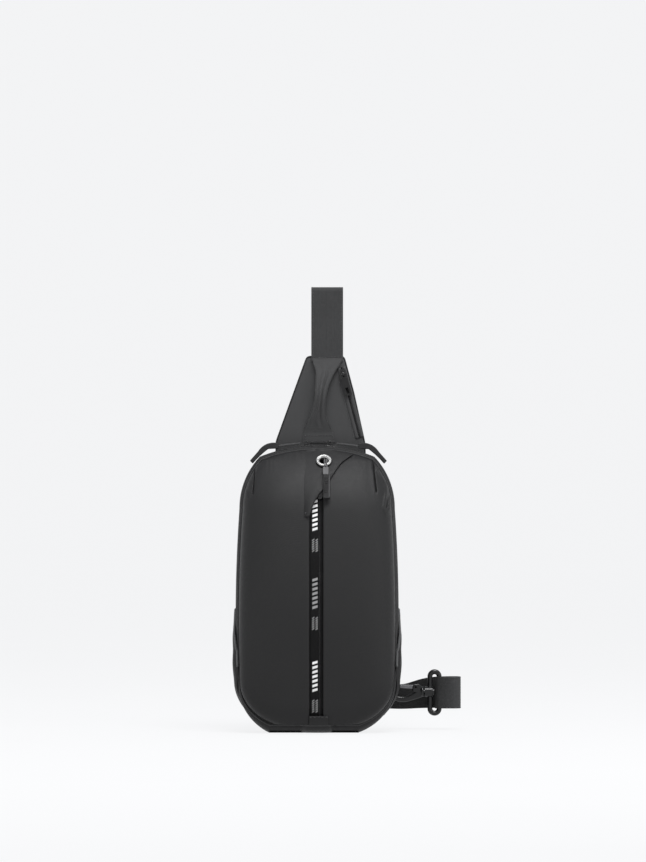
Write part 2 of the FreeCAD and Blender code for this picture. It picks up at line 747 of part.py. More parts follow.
def strap_parts():
    left = STRAP_X - STRAP_W / 2
    right = STRAP_X + STRAP_W / 2
    top = STRAP_LOW_Z + STRAP_W
    fold_r = (STRAP_REAR_Y + STRAP_T - STRAP_FRONT_Y) / 2
    fold_z = STRAP_TOP_Z - fold_r
    fold = arc_band((0, 0), fold_r, STRAP_T, (0.0, math.pi), "yz", left, right)
    fold.translate(vec(0, STRAP_FRONT_Y + fold_r, fold_z))
    layer_y = STRAP_REAR_Y + STRAP_T
    triangle = [(left, top), (right, top), (right, STRAP_LOW_Z)]
    corner = prism(triangle, "xz", STRAP_REAR_Y, layer_y)
    turn = prism(triangle, "xz", layer_y, layer_y + STRAP_T)
    rear = box(left, right, STRAP_REAR_Y, layer_y, top, fold_z)
    turn_x = TURN_X - end_turn_radius()
    run = [(right, layer_y), ((right + 8.0, layer_y + 2.5), (right + 13.0, layer_y + 8.2)),
           ((right + 18.0, RUN_Y - 2.5), (right + 26.0, RUN_Y)), (turn_x, RUN_Y)]
    lower = ribbon(run, "xy", -STRAP_T, STRAP_LOW_Z, top)
    return {
        "strap_upper_run": fuse([box(left, right, STRAP_FRONT_Y, YOKE_Y, HANDLE_Z[1] + 1.0, fold_z), fold]),
        "strap_rear_run": fuse([rear, corner]),
        "strap_lower_run": fuse([turn, lower]),
        "strap_end_turn": end_turn(turn_x, top),
        "strap_end_loop": end_loop(turn_x, top),
        "strap_adjuster": strap_adjuster(left, right),
    }


def end_turn_radius():
    """The strap's end turns from the rear run to the layer that reaches the strap ring."""
    return (RUN_Y + STRAP_T - (HOOK_Y - RING_BAR_R - WRAP_GAP - STRAP_T)) / 2


def end_turn(turn_x, top):
    outer = end_turn_radius()
    inner = outer - STRAP_T
    y = RUN_Y + STRAP_T - outer
    outward = [(turn_x, y - outer), ((turn_x + outer, y), (turn_x, y + outer))]
    inward = [(turn_x, y + inner), ((turn_x + inner, y), (turn_x, y - inner))]
    return prism(outward + inward, "xy", STRAP_LOW_Z, top)


def end_loop(turn_x, top):
    """The layer that wraps the ring's outer bar and is sewn back on itself."""
    bar_x = RING_X[1] - RING_BAR_R
    wrap_in = RING_BAR_R + WRAP_GAP
    wrap_out = wrap_in + STRAP_T
    around = [(bar_x, HOOK_Y - wrap_out), ((bar_x - wrap_out, HOOK_Y), (bar_x, HOOK_Y + wrap_out))]
    back = [(bar_x, HOOK_Y + wrap_in), ((bar_x - wrap_in, HOOK_Y), (bar_x, HOOK_Y - wrap_in))]
    front = box(bar_x, turn_x, HOOK_Y - wrap_out, HOOK_Y - wrap_in, STRAP_LOW_Z, top)
    lead_x = bar_x + 3.5
    end_x = bar_x + 11.0
    near_y = HOOK_Y - wrap_in
    tail_out = [(bar_x, HOOK_Y + wrap_in), (bar_x, HOOK_Y + wrap_out), (lead_x, HOOK_Y + wrap_out),
                (end_x + 1.5, near_y + STRAP_T)]
    tail_in = [(end_x + 5.0, near_y + STRAP_T), (end_x + 5.0, near_y), (end_x, near_y),
               (lead_x, HOOK_Y + wrap_in)]
    wrap = prism(around + back, "xy", STRAP_LOW_Z, top)
    return fuse([front, wrap, prism(tail_out + tail_in, "xy", STRAP_LOW_Z, top)])


def strap_adjuster(left, right):
    """A three-bar slide: the strap runs in front of the outer bars and behind the middle one."""
    near = STRAP_REAR_Y - GLIDE_PLAY
    far = STRAP_REAR_Y + STRAP_T + GLIDE_PLAY
    low = GLIDE_Z - GLIDE_HALF
    high = GLIDE_Z + GLIDE_HALF
    inside = (left - GLIDE_SIDE_PLAY, right + GLIDE_SIDE_PLAY)
    rails = [box(x, x + GLIDE_BAR, near - GLIDE_T, far + GLIDE_T, low, high)
             for x in (inside[0] - GLIDE_BAR, inside[1])]
    ends = (inside[0] - 1.2, inside[1] + 1.2)
    outer = [box(*ends, far, far + GLIDE_T, z, z + GLIDE_BAR) for z in (low, high - GLIDE_BAR)]
    middle = box(*ends, near - GLIDE_T, near, GLIDE_Z - 2.5, GLIDE_Z + 2.5)
    return fuse(rails + outer + [middle])


def on_hook_line(x):
    return vec(x, HOOK_Y, HOOK_Z)


def hook_parts():
    """The strap's oval ring with a boss, and the snap hook that swivels in it on a stud."""
    ring = strap_ring()
    boss = rod(on_hook_line(BOSS_X[0]), on_hook_line(BOSS_X[1]), BOSS_R)
    bore = rod(on_hook_line(BOSS_X[0] - 9.0), on_hook_line(BOSS_X[1] + 4.0), BOSS_BORE_R)
    stud = rod(on_hook_line(STUD_X[0]), on_hook_line(STUD_X[1]), STUD_R)
    head_x = STUD_X[1] - 0.1
    head = rod(on_hook_line(head_x), on_hook_line(head_x + STUD_HEAD[0]), STUD_HEAD[1])
    parts = {"hook_strap_ring": fuse(ring + [boss]).cut(bore), "swivel_stud": fuse([stud, head])}
    parts.update(snap_hook())
    return parts


def strap_ring():
    """Two straight bars with a half ring at each end."""
    bar = RING_BAR_R
    x0, x1 = RING_X[0] + bar, RING_X[1] - bar
    bend = (x1 - x0) / 2
    low = RING_Z[0] + bar + bend
    high = RING_Z[1] - bar - bend
    shapes = [rod(vec(x, HOOK_Y, low), vec(x, HOOK_Y, high), bar) for x in (x0, x1)]
    for z, keep in ((high, (high, high + 20.0)), (low, (low - 20.0, low))):
        whole = Part.makeTorus(bend, bar, vec(x0 + bend, HOOK_Y, z), vec(0, 1, 0))
        shapes.append(whole.common(box(x0 - 9.0, x1 + 9.0, HOOK_Y - 9.0, HOOK_Y + 9.0, *keep)))
    return shapes


def snap_hook():
    """A snap hook on its side: a crescent below, a nose on the left and a sprung gate above."""
    y0 = HOOK_Y - HOOK_T / 2
    y1 = HOOK_Y + HOOK_T / 2
    outer = [(127.6, 52.0), (127.6, 40.0), ((108.0, 33.5), (91.5, 36.5)), ((86.0, 45.0), (91.5, 54.0)),
             (98.5, 55.0), (98.5, 50.0), (94.5, 49.6), ((92.6, 45.5), (95.0, 41.6)),
             ((106.0, 40.2), (113.5, 43.5)), (115.0, 46.4), (122.0, 46.4), (122.0, 54.5), (125.0, 54.5)]
    cheek = [(114.0, 46.0), (122.5, 46.0), (122.5, 55.0), (116.0, 55.0), (114.0, 53.0)]
    gate_outline = [(99.0, 50.4), (112.0, 49.6), (117.0, 49.2), ((120.6, 51.5), (117.5, 53.9)), (99.0, 54.2)]
    collar = rod(on_hook_line(COLLAR_X[0]), on_hook_line(COLLAR_X[1]), COLLAR_R)
    slot = box(110.0, 121.6, HOOK_Y - GATE_SLOT_HALF, HOOK_Y + GATE_SLOT_HALF, 46.6, 60.0)
    pin_at = vec(GATE_PIN[0], HOOK_Y, GATE_PIN[1])
    across_pin = vec(0, HOOK_T / 2, 0)
    pin_hole = rod(pin_at - across_pin * 1.5, pin_at + across_pin * 1.5, GATE_PIN_R)
    hook = fuse([prism(outer, "xz", y0, y1), collar, prism(cheek, "xz", y0, y1)]).cut(slot).cut(pin_hole)
    gate = prism(gate_outline, "xz", HOOK_Y - GATE_HALF_T, HOOK_Y + GATE_HALF_T)
    gate = gate.cut(rod(pin_at - across_pin, pin_at + across_pin, GATE_HOLE_R))
    room = vec(0, SPRING_ROOM[0], 0)
    coil_room = rod(pin_at - room, pin_at + room, SPRING_ROOM[1])
    turns = [Part.makeTorus(SPRING_R, SPRING_WIRE_R, pin_at + vec(0, y, 0), vec(0, 1, 0))
             for y in (-0.45, 0.0, 0.45)]
    return {
        "hook_body": hook,
        "hook_gate": gate.cut(coil_room),
        "gate_pin": rod(pin_at - across_pin, pin_at + across_pin, GATE_PIN_R),
        "gate_spring": Part.makeCompound(turns),
    }


def d_ring():
    """A D-ring in its own frame: the bar lies on Y at the origin and the bow reaches along X."""
    half = D_WIDTH / 2 - D_WIRE_R
    bow = D_REACH - 2 * D_WIRE_R
    straight = bow - half / 2
    near = half * D_TAPER
    shoulder = bow - 0.6
    bend = [vec(straight, -near, 0), vec(shoulder, -half / 2, 0), vec(bow, 0, 0), vec(shoulder, half / 2, 0),
            vec(straight, near, 0)]
    ends = [vec(0, -half, 0), vec(0, half, 0)]
    path = [ends[0]] + bend + [ends[1], ends[0]]
    runs = [rod(a, b, D_WIRE_R) for a, b in zip(path, path[1:])]
    return fuse(runs + [Part.makeSphere(D_WIRE_R, point) for point in ends + bend])


def twisted_tab(right_at):
    """The right tab: a strip that turns from flat on the back to edge-on at the ring."""
    stations = ((50.0, BACK_Y + TAB_HALF_T, 0.0), (60.0, BACK_Y + 6.4, 45.0), (70.0, HOOK_Y, 90.0),
                (76.6, HOOK_Y, 90.0))
    corners = [(-TAB_HALF_T, -TAB_HALF_W), (TAB_HALF_T, -TAB_HALF_W), (TAB_HALF_T, TAB_HALF_W),
               (-TAB_HALF_T, TAB_HALF_W), (-TAB_HALF_T, -TAB_HALF_W)]
    sections = []
    for x, y, angle in stations:
        wire = Part.makePolygon([vec(0, *corner) for corner in corners])
        wire.rotate(vec(0, 0, 0), vec(1, 0, 0), angle)
        wire.translate(vec(x, y, right_at.z))
        sections.append(wire)
    return Part.makeLoft(sections[:3], True, True).fuse(Part.makeLoft(sections[2:], True, True))


def hoop(centre, direction):
    """A hoop of webbing round a ring's bar, as its outer form and its bore."""
    half = vec(*direction) * TAB_HALF_W
    bore_r = D_WIRE_R + HOOP_PLAY
    form = rod(centre - half, centre + half, bore_r + HOOP_T)
    return form, rod(centre - half * 1.4, centre + half * 1.4, bore_r)


def anchor_parts():
    """The D-ring and its tab on each side of the back."""
    right_at = vec(*RIGHT_RING)
    left_at = vec(*LEFT_RING)
    right_hoop, right_bore = hoop(right_at, (0, 1, 0))
    left_hoop, left_bore = hoop(left_at, (0, 0, 1))
    strip = [(-66.5, 47.5), (-62.0, BACK_Y), (-45.0, BACK_Y), (-45.0, BACK_Y + 2.0), (-61.0, 46.6),
             (-66.0, 50.4)]
    left_strip = prism(strip, "xy", left_at.z - TAB_HALF_W, left_at.z + TAB_HALF_W)
    return {
        "d_ring_right": placed(d_ring(), right_at, (1, 0, 0), (0, 0, 1)),
        "d_ring_left": placed(d_ring(), left_at, (-1, 0, 0), (0, 1, 0)),
        "d_ring_tab_right": fuse([twisted_tab(right_at), right_hoop]).cut(right_bore),
        "d_ring_tab_left": fuse([left_hoop, left_strip]).cut(left_bore),
    }


def main():
    os.makedirs("parts", exist_ok=True)
    parts = {}
    for make in (body_parts, side_pocket_parts, main_zip_parts, front_zip_parts, flap_parts, front_pull_parts,
                 yoke_parts, handle_parts, strap_parts, hook_parts, anchor_parts):
        parts.update(make())
    for name, shape in parts.items():
        bound = shape.BoundBox
        spans = "x %.1f %.1f  y %.1f %.1f  z %.1f %.1f" % (
            bound.XMin, bound.XMax, bound.YMin, bound.YMax, bound.ZMin, bound.ZMax)
        print("%-26s solids %d valid %s vol %9.1f  %s" % (
            name, len(shape.Solids), shape.isValid(), shape.Volume, spans))
        shape.exportStep("parts/" + name + ".step")
    print(len(parts), "nodes")


main()
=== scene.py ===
import json
import math

import bmesh
import bpy
import numpy as np
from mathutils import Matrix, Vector


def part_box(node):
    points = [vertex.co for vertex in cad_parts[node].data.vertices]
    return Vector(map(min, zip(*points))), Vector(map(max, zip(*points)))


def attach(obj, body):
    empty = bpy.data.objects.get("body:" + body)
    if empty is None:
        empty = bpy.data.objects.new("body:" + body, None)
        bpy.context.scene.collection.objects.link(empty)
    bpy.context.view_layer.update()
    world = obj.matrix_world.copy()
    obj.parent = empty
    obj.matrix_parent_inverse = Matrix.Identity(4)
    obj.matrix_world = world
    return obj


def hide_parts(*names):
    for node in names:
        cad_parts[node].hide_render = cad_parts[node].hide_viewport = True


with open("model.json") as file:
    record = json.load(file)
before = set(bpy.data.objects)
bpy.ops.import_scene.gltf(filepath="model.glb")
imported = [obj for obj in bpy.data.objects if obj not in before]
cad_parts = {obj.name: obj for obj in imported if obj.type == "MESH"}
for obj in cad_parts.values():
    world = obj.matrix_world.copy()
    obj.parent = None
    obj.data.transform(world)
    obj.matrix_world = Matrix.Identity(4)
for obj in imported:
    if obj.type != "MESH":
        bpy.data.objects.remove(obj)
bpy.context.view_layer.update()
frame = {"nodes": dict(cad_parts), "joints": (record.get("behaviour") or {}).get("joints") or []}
MM = 0.001
FORWARD = (0.0, -1.0, 0.0)

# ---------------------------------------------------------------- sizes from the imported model, in millimetres


def node_box(node):
    """A CAD node's low and high corners in millimetres."""
    low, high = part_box(node)
    return [c / MM for c in low], [c / MM for c in high]


def joint_point(name):
    """A joint's position in millimetres."""
    joint = next(j for j in frame["joints"] if j["name"] == name)
    return [c / MM for c in joint["pos_m"]]


GUSSET_LOW, GUSSET_HIGH = node_box("front_gusset")
SIDE_HALF = GUSSET_HIGH[0]
TOP_Z = GUSSET_HIGH[2]
BASE_HALF = node_box("base_panel")[1][0]
ARCH_Z = joint_point("left_slider_travel")[2]
ARCH_R = TOP_Z - ARCH_Z
ZIP_Y = joint_point("left_slider_travel")[1]
FRONT_ZIP_X, FRONT_AXIS_Y, FRONT_Z = joint_point("front_slider_travel")
FRONT_Y = node_box("front_panel_left")[0][1] - 0.2
FRONT_R = FRONT_AXIS_Y - FRONT_Y
CROWN_R = 134.0
CROWN_Z = 260.7
FOOT_Z = 38.0
FOOT_TUCK = 10.5
REAR_SEAM_Y = node_box("back_panel")[0][1]
ZIP_REAR_Y = node_box("rear_gusset")[0][1]
ZIP_FRONT_Y = 2 * ZIP_Y - ZIP_REAR_Y
SEAM_LOW_Y = GUSSET_LOW[1]
SEAM_TOP_Y = 17.0
ARCH_X = 68.0
OUTLINE_COUNT = 360
FALL_POWER = 2.8


# ---------------------------------------------------------------- the bag's form


def arc_points(start, via, end, count):
    """Points along the circle through three points, from start up to, but not including, end."""
    ax, az = start
    bx, bz = via
    cx, cz = end
    d = 2 * (ax * (bz - cz) + bx * (cz - az) + cx * (az - bz))
    a2, b2, c2 = ax * ax + az * az, bx * bx + bz * bz, cx * cx + cz * cz
    ox = (a2 * (bz - cz) + b2 * (cz - az) + c2 * (az - bz)) / d
    oz = (a2 * (cx - bx) + b2 * (ax - cx) + c2 * (bx - ax)) / d
    r = math.hypot(ax - ox, az - oz)
    first = math.atan2(az - oz, ax - ox)
    sweep = (math.atan2(cz - oz, cx - ox) - first) % (2 * math.pi)
    middle = (math.atan2(bz - oz, bx - ox) - first) % (2 * math.pi)
    if middle > sweep:
        sweep -= 2 * math.pi
    return [(ox + r * math.cos(first + sweep * k / count), oz + r * math.sin(first + sweep * k / count))
            for k in range(count)]


RIGHT_CORNER = ((BASE_HALF - 8.0, 0.0), (78.5, 20.0))
LEFT_CORNER = ((BASE_HALF, 0.0), (80.5, 19.0))


def side_outline(corner):
    """One side from the base's end, round the corner and up to the arch. The bag stands a little askew."""
    shoulder_z = ARCH_Z + math.sqrt(ARCH_R ** 2 - ARCH_X ** 2)
    points = arc_points(*corner, (94.8, 56.0), 24)
    points += arc_points((94.8, 56.0), (SIDE_HALF, 150.0), (92.0, 265.0), 40)
    return points + arc_points((92.0, 265.0), (82.5, 306.0), (ARCH_X, shoulder_z), 24)


def outline_points():
    """The body's outline seen from the front, anticlockwise from the base's right end."""
    shoulder_z = ARCH_Z + math.sqrt(ARCH_R ** 2 - ARCH_X ** 2)
    right = side_outline(RIGHT_CORNER)
    top = arc_points((ARCH_X, shoulder_z), (0.0, TOP_Z), (-ARCH_X, shoulder_z), 40)
    left = [(-x, z) for x, z in [(ARCH_X, shoulder_z)] + side_outline(LEFT_CORNER)[::-1]]
    base = [(x, 0.0) for x in np.linspace(-LEFT_CORNER[0][0], RIGHT_CORNER[0][0], 25)[1:-1]]
    return np.array(right + top + left + base)


def resampled(points, count, closed=True):
    """Evenly spaced points along a line."""
    line = np.vstack([points, points[:1]]) if closed else np.asarray(points, float)
    steps = np.linalg.norm(np.diff(line, axis=0), axis=1)
    along = np.concatenate([[0.0], np.cumsum(steps)])
    wanted = np.linspace(0.0, along[-1], count, endpoint=not closed)
    return np.stack([np.interp(wanted, along, line[:, k]) for k in range(line.shape[1])], axis=1)


def outline():
    """Evenly spaced outline points and their outward normals, each taken across four steps."""
    points = resampled(outline_points(), OUTLINE_COUNT)
    tangent = np.roll(points, -2, axis=0) - np.roll(points, 2, axis=0)
    tangent /= np.linalg.norm(tangent, axis=1)[:, None]
    return points, np.stack([tangent[:, 1], -tangent[:, 0]], axis=1)


def front_profile(z):
    """Y of the front surface on the bag's middle: a long arc, a tighter one above and a tucked foot."""
    z = np.asarray(z, float)
    low = np.minimum(z, CROWN_Z)
    y = FRONT_Y + FRONT_R - np.sqrt(FRONT_R ** 2 - (low - FRONT_Z) ** 2)
    lean = math.asin((CROWN_Z - FRONT_Z) / FRONT_R)
    sine = np.clip(math.sin(lean) + (np.maximum(z, CROWN_Z) - CROWN_Z) / CROWN_R, -1, 0.95)
    y = y + CROWN_R * (math.cos(lean) - np.sqrt(1 - sine ** 2))
    foot = np.clip((FOOT_Z - z) / FOOT_Z, 0, 1)
    return y + FOOT_TUCK * foot ** 2.2


def seam_y(z):
    """Y of the front seam, which leans back as it rises."""
    return SEAM_LOW_Y + (SEAM_TOP_Y - SEAM_LOW_Y) * np.asarray(z, float) / TOP_Z


# ---------------------------------------------------------------- mesh helpers


def lay(x, y, z):
    """Points from their coordinates, where a single number serves every point."""
    return np.stack(np.broadcast_arrays(*(np.asarray(c, float) for c in (x, y, z))), axis=-1)


def linked(name, data):
    """A new object in the scene."""
    obj = bpy.data.objects.new(name, data)
    bpy.context.scene.collection.objects.link(obj)
    return obj


def mesh_object(name, verts, faces, material, smooth=True):
    mesh = bpy.data.meshes.new(name)
    points = [tuple(float(c) * MM for c in v) for v in verts]
    mesh.from_pydata(points, [], [tuple(map(int, f)) for f in faces])
    mesh.validate()
    mesh.update()
    if smooth:
        mesh.polygons.foreach_set("use_smooth", [True] * len(mesh.polygons))
    mesh.materials.append(material)
    return linked(name, mesh)


def apply_modifiers(obj):
    """Replace a mesh by what its modifiers make of it."""
    graph = bpy.context.evaluated_depsgraph_get()
    graph.update()
    done = bpy.data.meshes.new_from_object(obj.evaluated_get(graph), depsgraph=graph)
    materials = list(obj.data.materials)
    obj.modifiers.clear()
    obj.data = done
    if not done.materials:
        for material in materials:
            done.materials.append(material)
    return obj


def thicken(obj, thickness, offset=-1.0, bevel=0.0, levels=0):
    """Give a sheet a thickness in millimetres, rounded rims and, if asked, a subdivision."""
    solid = obj.modifiers.new("solid", "SOLIDIFY")
    solid.thickness = thickness * MM
    solid.offset = offset
    solid.use_even_offset = False
    if bevel:
        round_edges(obj, bevel, 2, 50)
    if levels:
        subdivide(obj, levels)
    return apply_modifiers(obj)


def round_edges(obj, width, segments, degrees):
    """Bevel the edges that turn by more than an angle."""
    edges = obj.modifiers.new("edges", "BEVEL")
    edges.width = width * MM
    edges.segments = segments
    edges.limit_method = "ANGLE"
    edges.angle_limit = math.radians(degrees)


def subdivide(obj, levels):
    smooth = obj.modifiers.new("smooth", "SUBSURF")
    smooth.levels = levels
    smooth.render_levels = levels


def grid_faces(rows, columns, wrap_columns=False, wrap_rows=False):
    faces = []
    for r in range(rows if wrap_rows else rows - 1):
        for c in range(columns if wrap_columns else columns - 1):
            a = r * columns + c
            b = r * columns + (c + 1) % columns
            d = ((r + 1) % rows) * columns + c
            e = ((r + 1) % rows) * columns + (c + 1) % columns
            faces.append((a, b, e, d))
    return faces


def grid_object(name, points, material, wrap=False):
    """A surface from an array of points, rows by columns by 3, in millimetres."""
    faces = grid_faces(*points.shape[:2], wrap_columns=wrap)
    return mesh_object(name, points.reshape(-1, 3), faces, material)


def cloth_sheet(name, points, material, facing, slot, nodes, thickness, wrap=False, **edges):
    """A cloth sheet on the bag itself, turned outward by a function and given its thickness."""
    obj = grid_object(name, points, material, wrap)
    facing(obj)
    thicken(obj, thickness, **edges)
    return place(obj, "root", slot, *nodes)


def solids(name, stacks, material, smooth=True):
    """One mesh of many closed solids, each given as a stack of rings with equal point counts."""
    verts, faces = [], []
    for rings in stacks:
        rings = np.asarray(rings, float)
        rows, columns = rings.shape[:2]
        shapes = grid_faces(rows, columns, wrap_columns=True)
        shapes.append(tuple(range(columns))[::-1])
        shapes.append(tuple(range((rows - 1) * columns, rows * columns)))
        faces += [tuple(len(verts) + k for k in shape) for shape in shapes]
        verts += list(rings.reshape(-1, 3))
    obj = mesh_object(name, verts, faces, material, smooth=smooth)
    fix_normals(obj)
    return obj


def place(obj, body, slot, *nodes):
    """Put a piece on the body it rides on and hide the CAD nodes it stands for; the slot is not used."""
    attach(obj, body)
    if nodes:
        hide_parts(*nodes)
    return obj


def unit(vectors):
    return vectors / np.linalg.norm(vectors, axis=-1, keepdims=True)


def turns(count):
    """Angles evenly round a circle."""
    return np.linspace(0, 2 * math.pi, count, endpoint=False)


def line_length(line):
    return np.linalg.norm(np.diff(line, axis=0), axis=1).sum()


def softened_line(line):
    """A closed line with its corners rounded a little."""
    for _ in range(3):
        line = (np.roll(line, 1, axis=0) + 2 * line + np.roll(line, -1, axis=0)) / 4
    return line


def frames_along(path, up):
    """Tangent, side and normal vectors along a path, keeping the normal near a given direction."""
    path = np.asarray(path, float)
    tangent = unit(np.gradient(path, axis=0))
    side = unit(np.cross(tangent, np.broadcast_to(np.asarray(up, float), path.shape)))
    return tangent, side, np.cross(side, tangent)


def sweep(name, path, section, up, material, closed=False):
    """Sweep a closed section of (side, normal) points along a path. It may vary: rows by points by 2."""
    path = np.asarray(path, float)
    section = np.asarray(section, float)
    if section.ndim == 2:
        section = np.broadcast_to(section, (len(path),) + section.shape)
    up = np.broadcast_to(np.asarray(up, float), path.shape)
    if closed:
        ends = [np.vstack([a[-1:], a, a[:1]]) for a in (path, up)]
        _, side, normal = (a[1:-1] for a in frames_along(*ends))
    else:
        _, side, normal = frames_along(path, up)
    points = path[:, None] + section[:, :, :1] * side[:, None] + section[:, :, 1:] * normal[:, None]
    rows, columns = points.shape[:2]
    faces = grid_faces(rows, columns, wrap_columns=True, wrap_rows=closed)
    if not closed:
        faces.append(tuple(range(columns))[::-1])
        faces.append(tuple(range((rows - 1) * columns, rows * columns)))
    obj = mesh_object(name, points.reshape(-1, 3), faces, material)
    fix_normals(obj)
    return obj


def fix_normals(obj):
    bm = bmesh.new()
    bm.from_mesh(obj.data)
    bmesh.ops.recalc_face_normals(bm, faces=bm.faces)
    bm.to_mesh(obj.data)
    bm.free()


def round_section(radius, count=12, squash=1.0):
    angles = [2 * math.pi * k / count for k in range(count)]
    return [(radius * math.cos(a), radius * squash * math.sin(a)) for a in angles]


def strap_section(width, thickness, count=13, edge=0.35):
    """A flat strap's section with rounded, slightly thicker edges."""
    xs = np.linspace(-width / 2 + edge, width / 2 - edge, count)
    half = thickness / 2
    top = [(x, half * (1 + 0.12 * (abs(2 * x / width) > 0.93))) for x in xs]
    right = [(width / 2, half * 0.5), (width / 2, -half * 0.5)]
    bottom = [(x, -h) for x, h in top[::-1]]
    left = [(-width / 2, -half * 0.5), (-width / 2, half * 0.5)]
    return top + right + bottom + left


def join(name, objects):
    """Join meshes into one object, keeping each one's material."""
    materials = []
    bm = bmesh.new()
    for obj in objects:
        offset = []
        for material in obj.data.materials:
            if material not in materials:
                materials.append(material)
            offset.append(materials.index(material))
        start = len(bm.faces)
        bm.from_mesh(obj.data)
        bm.faces.ensure_lookup_table()
        for face in bm.faces[start:]:
            face.material_index = offset[face.material_index]
    mesh = bpy.data.meshes.new(name)
    bm.to_mesh(mesh)
    bm.free()
    for obj in objects:
        bpy.data.objects.remove(obj)
    for material in materials:
        mesh.materials.append(material)
    return linked(name, mesh)


STITCH_LIFT = 0.12
STITCH_RINGS = ((-0.5, 0.35, 0.0), (-0.3, 1.0, 0.8), (0.3, 1.0, 0.8), (0.5, 0.35, 0.0))


def stitches(name, path, normal, pitch=3.2, length=2.3, width=0.55):
    """A row of raised thread stitches along a path that lies on a surface."""
    path = np.asarray(path, float)
    count = max(2, int(line_length(path) / pitch))
    centres = resampled(path, count, closed=False)
    normals = np.broadcast_to(np.asarray(normal, float), path.shape)
    along = np.concatenate([[0.0], np.cumsum(np.linalg.norm(np.diff(path, axis=0), axis=1))])
    wanted = np.linspace(0.0, along[-1], count)
    normals = np.stack([np.interp(wanted, along, normals[:, k]) for k in range(3)], axis=1)
    tangent = unit(np.gradient(centres, axis=0))
    stacks = []
    for centre, t, n in zip(centres, tangent, normals):
        n = unit(n - t * np.dot(n, t))
        s = np.cross(t, n)
        stacks.append([[centre + t * at * length + s * math.cos(a) * width / 2 * size
                        + n * (STITCH_LIFT * high + math.sin(a) * width / 2 * size) for a in turns(6)]
                       for at, size, high in STITCH_RINGS])
    return solids(name, stacks, THREAD)


# ---------------------------------------------------------------- materials


class Nodes:
    """A short way to write a material's node tree."""

    def __init__(self, name):
        self.material = bpy.data.materials.new(name)
        self.material.use_nodes = True
        self.tree = self.material.node_tree
        self.shader = self.tree.nodes["Principled BSDF"]
        self.coords = self.add("ShaderNodeTexCoord").outputs["Object"]

    def add(self, kind, inputs=(), **settings):
        node = self.tree.nodes.new(kind)
        for key, value in settings.items():
            setattr(node, key, value)
        for key, value in inputs:
            if isinstance(value, bpy.types.NodeSocket):
                self.tree.links.new(value, node.inputs[key])
            else:
                node.inputs[key].default_value = value
        return node

    def put(self, values):
        """Set plain inputs of the shader."""
        for socket, value in values.items():
            self.shader.inputs[socket].default_value = value

    def maths(self, operation, a, b=0.0):
        return self.add("ShaderNodeMath", [(0, a), (1, b)], operation=operation).outputs[0]

    def times(self, a, b):
        return self.maths("MULTIPLY", a, b)

    def plus(self, a, b):
        return self.maths("ADD", a, b)

    def noise(self, size_mm, detail=3.0):
        scale = 1.0 / (size_mm * MM)
        inputs = [("Vector", self.coords), ("Scale", scale), ("Detail", detail), ("Roughness", 0.55)]
        return self.add("ShaderNodeTexNoise", inputs).outputs["Fac"]

    def weave(self, pitches):
        """Threads as the sum of a wave along each axis, so that any flat side shows two sets that cross."""
        axes = self.add("ShaderNodeSeparateXYZ", [(0, self.coords)]).outputs
        total = None
        for axis, pitch in zip(axes, pitches):
            if pitch:
                wave = self.maths("SINE", self.times(axis, 2 * math.pi / (pitch * MM)))
                total = wave if total is None else self.plus(total, wave)
        return total

    def ramp(self, value, low, high, out_low=0.0, out_high=1.0):
        inputs = [("Value", value), ("From Min", low), ("From Max", high)]
        inputs += [("To Min", out_low), ("To Max", out_high)]
        return self.add("ShaderNodeMapRange", inputs, clamp=True).outputs[0]

    def mix(self, factor, a, b):
        node = self.add("ShaderNodeMix", data_type="RGBA")
        for socket, value in ((node.inputs[0], factor), (node.inputs[6], a), (node.inputs[7], b)):
            if isinstance(value, bpy.types.NodeSocket):
                self.tree.links.new(value, socket)
            else:
                socket.default_value = value
        return node.outputs[2]

    def link(self, socket, value):
        self.tree.links.new(value, self.shader.inputs[socket])


def shade(colour, factor):
    """A colour made darker or lighter, with full alpha."""
    return tuple(min(1.0, c * factor) for c in colour) + (1.0,)


def finish_surface(nodes, colour, roughness, height, patch_mm, tint, wear):
    """Colour patches, worn edges, uneven roughness and the bump, shared by every material."""
    patches = nodes.ramp(nodes.noise(patch_mm), 0.3, 0.7)
    base = nodes.mix(patches, shade(colour, 1 - tint), shade(colour, 1 + tint))
    pointed = nodes.add("ShaderNodeNewGeometry").outputs["Pointiness"]
    edges = nodes.ramp(pointed, 0.515, 0.60)
    rubbed = nodes.times(edges, nodes.ramp(nodes.noise(6.0), 0.35, 0.65))
    worn = nodes.mix(nodes.times(rubbed, wear), base, shade(colour, 2.6))
    nodes.link("Base Color", worn)
    smooth, rough = max(0.02, roughness - 0.07), min(1.0, roughness + 0.07)
    spread = nodes.ramp(nodes.noise(3.0), 0.25, 0.75, smooth, rough)
    nodes.link("Roughness", spread)
    # Heights are in millimetres, so the bump's distance is one millimetre
    bump = nodes.add("ShaderNodeBump", [("Strength", 1.0), ("Distance", MM), ("Height", height)])
    nodes.link("Normal", bump.outputs[0])
    return nodes.material


def cloth_material(name, colour, pitches, depth, roughness=0.7, sheen=0.15, tint=0.10, wear=0.35,
                   patch_mm=45.0, creases=0.05, specular=0.35, painted_shade_span=None):
    """A woven cloth: crossed threads by their pitch in millimetres, fibre grain, and slow creases."""
    nodes = Nodes(name)
    threads = nodes.weave(pitches)
    fibres = nodes.noise(0.35, 2.0)
    height = nodes.times(threads, depth)
    height = nodes.plus(height, nodes.times(fibres, depth * 1.5))
    height = nodes.plus(height, nodes.times(nodes.noise(14.0, 2.0), creases))
    nodes.put({"Specular IOR Level": specular, "Sheen Weight": sheen, "Sheen Roughness": 0.45})
    material = finish_surface(nodes, colour, roughness, height, patch_mm, tint, wear)
    # If asked, a span of painted shade darkens the colour along X
    if painted_shade_span:
        paint_shade_span(nodes, colour, *painted_shade_span)
    return material


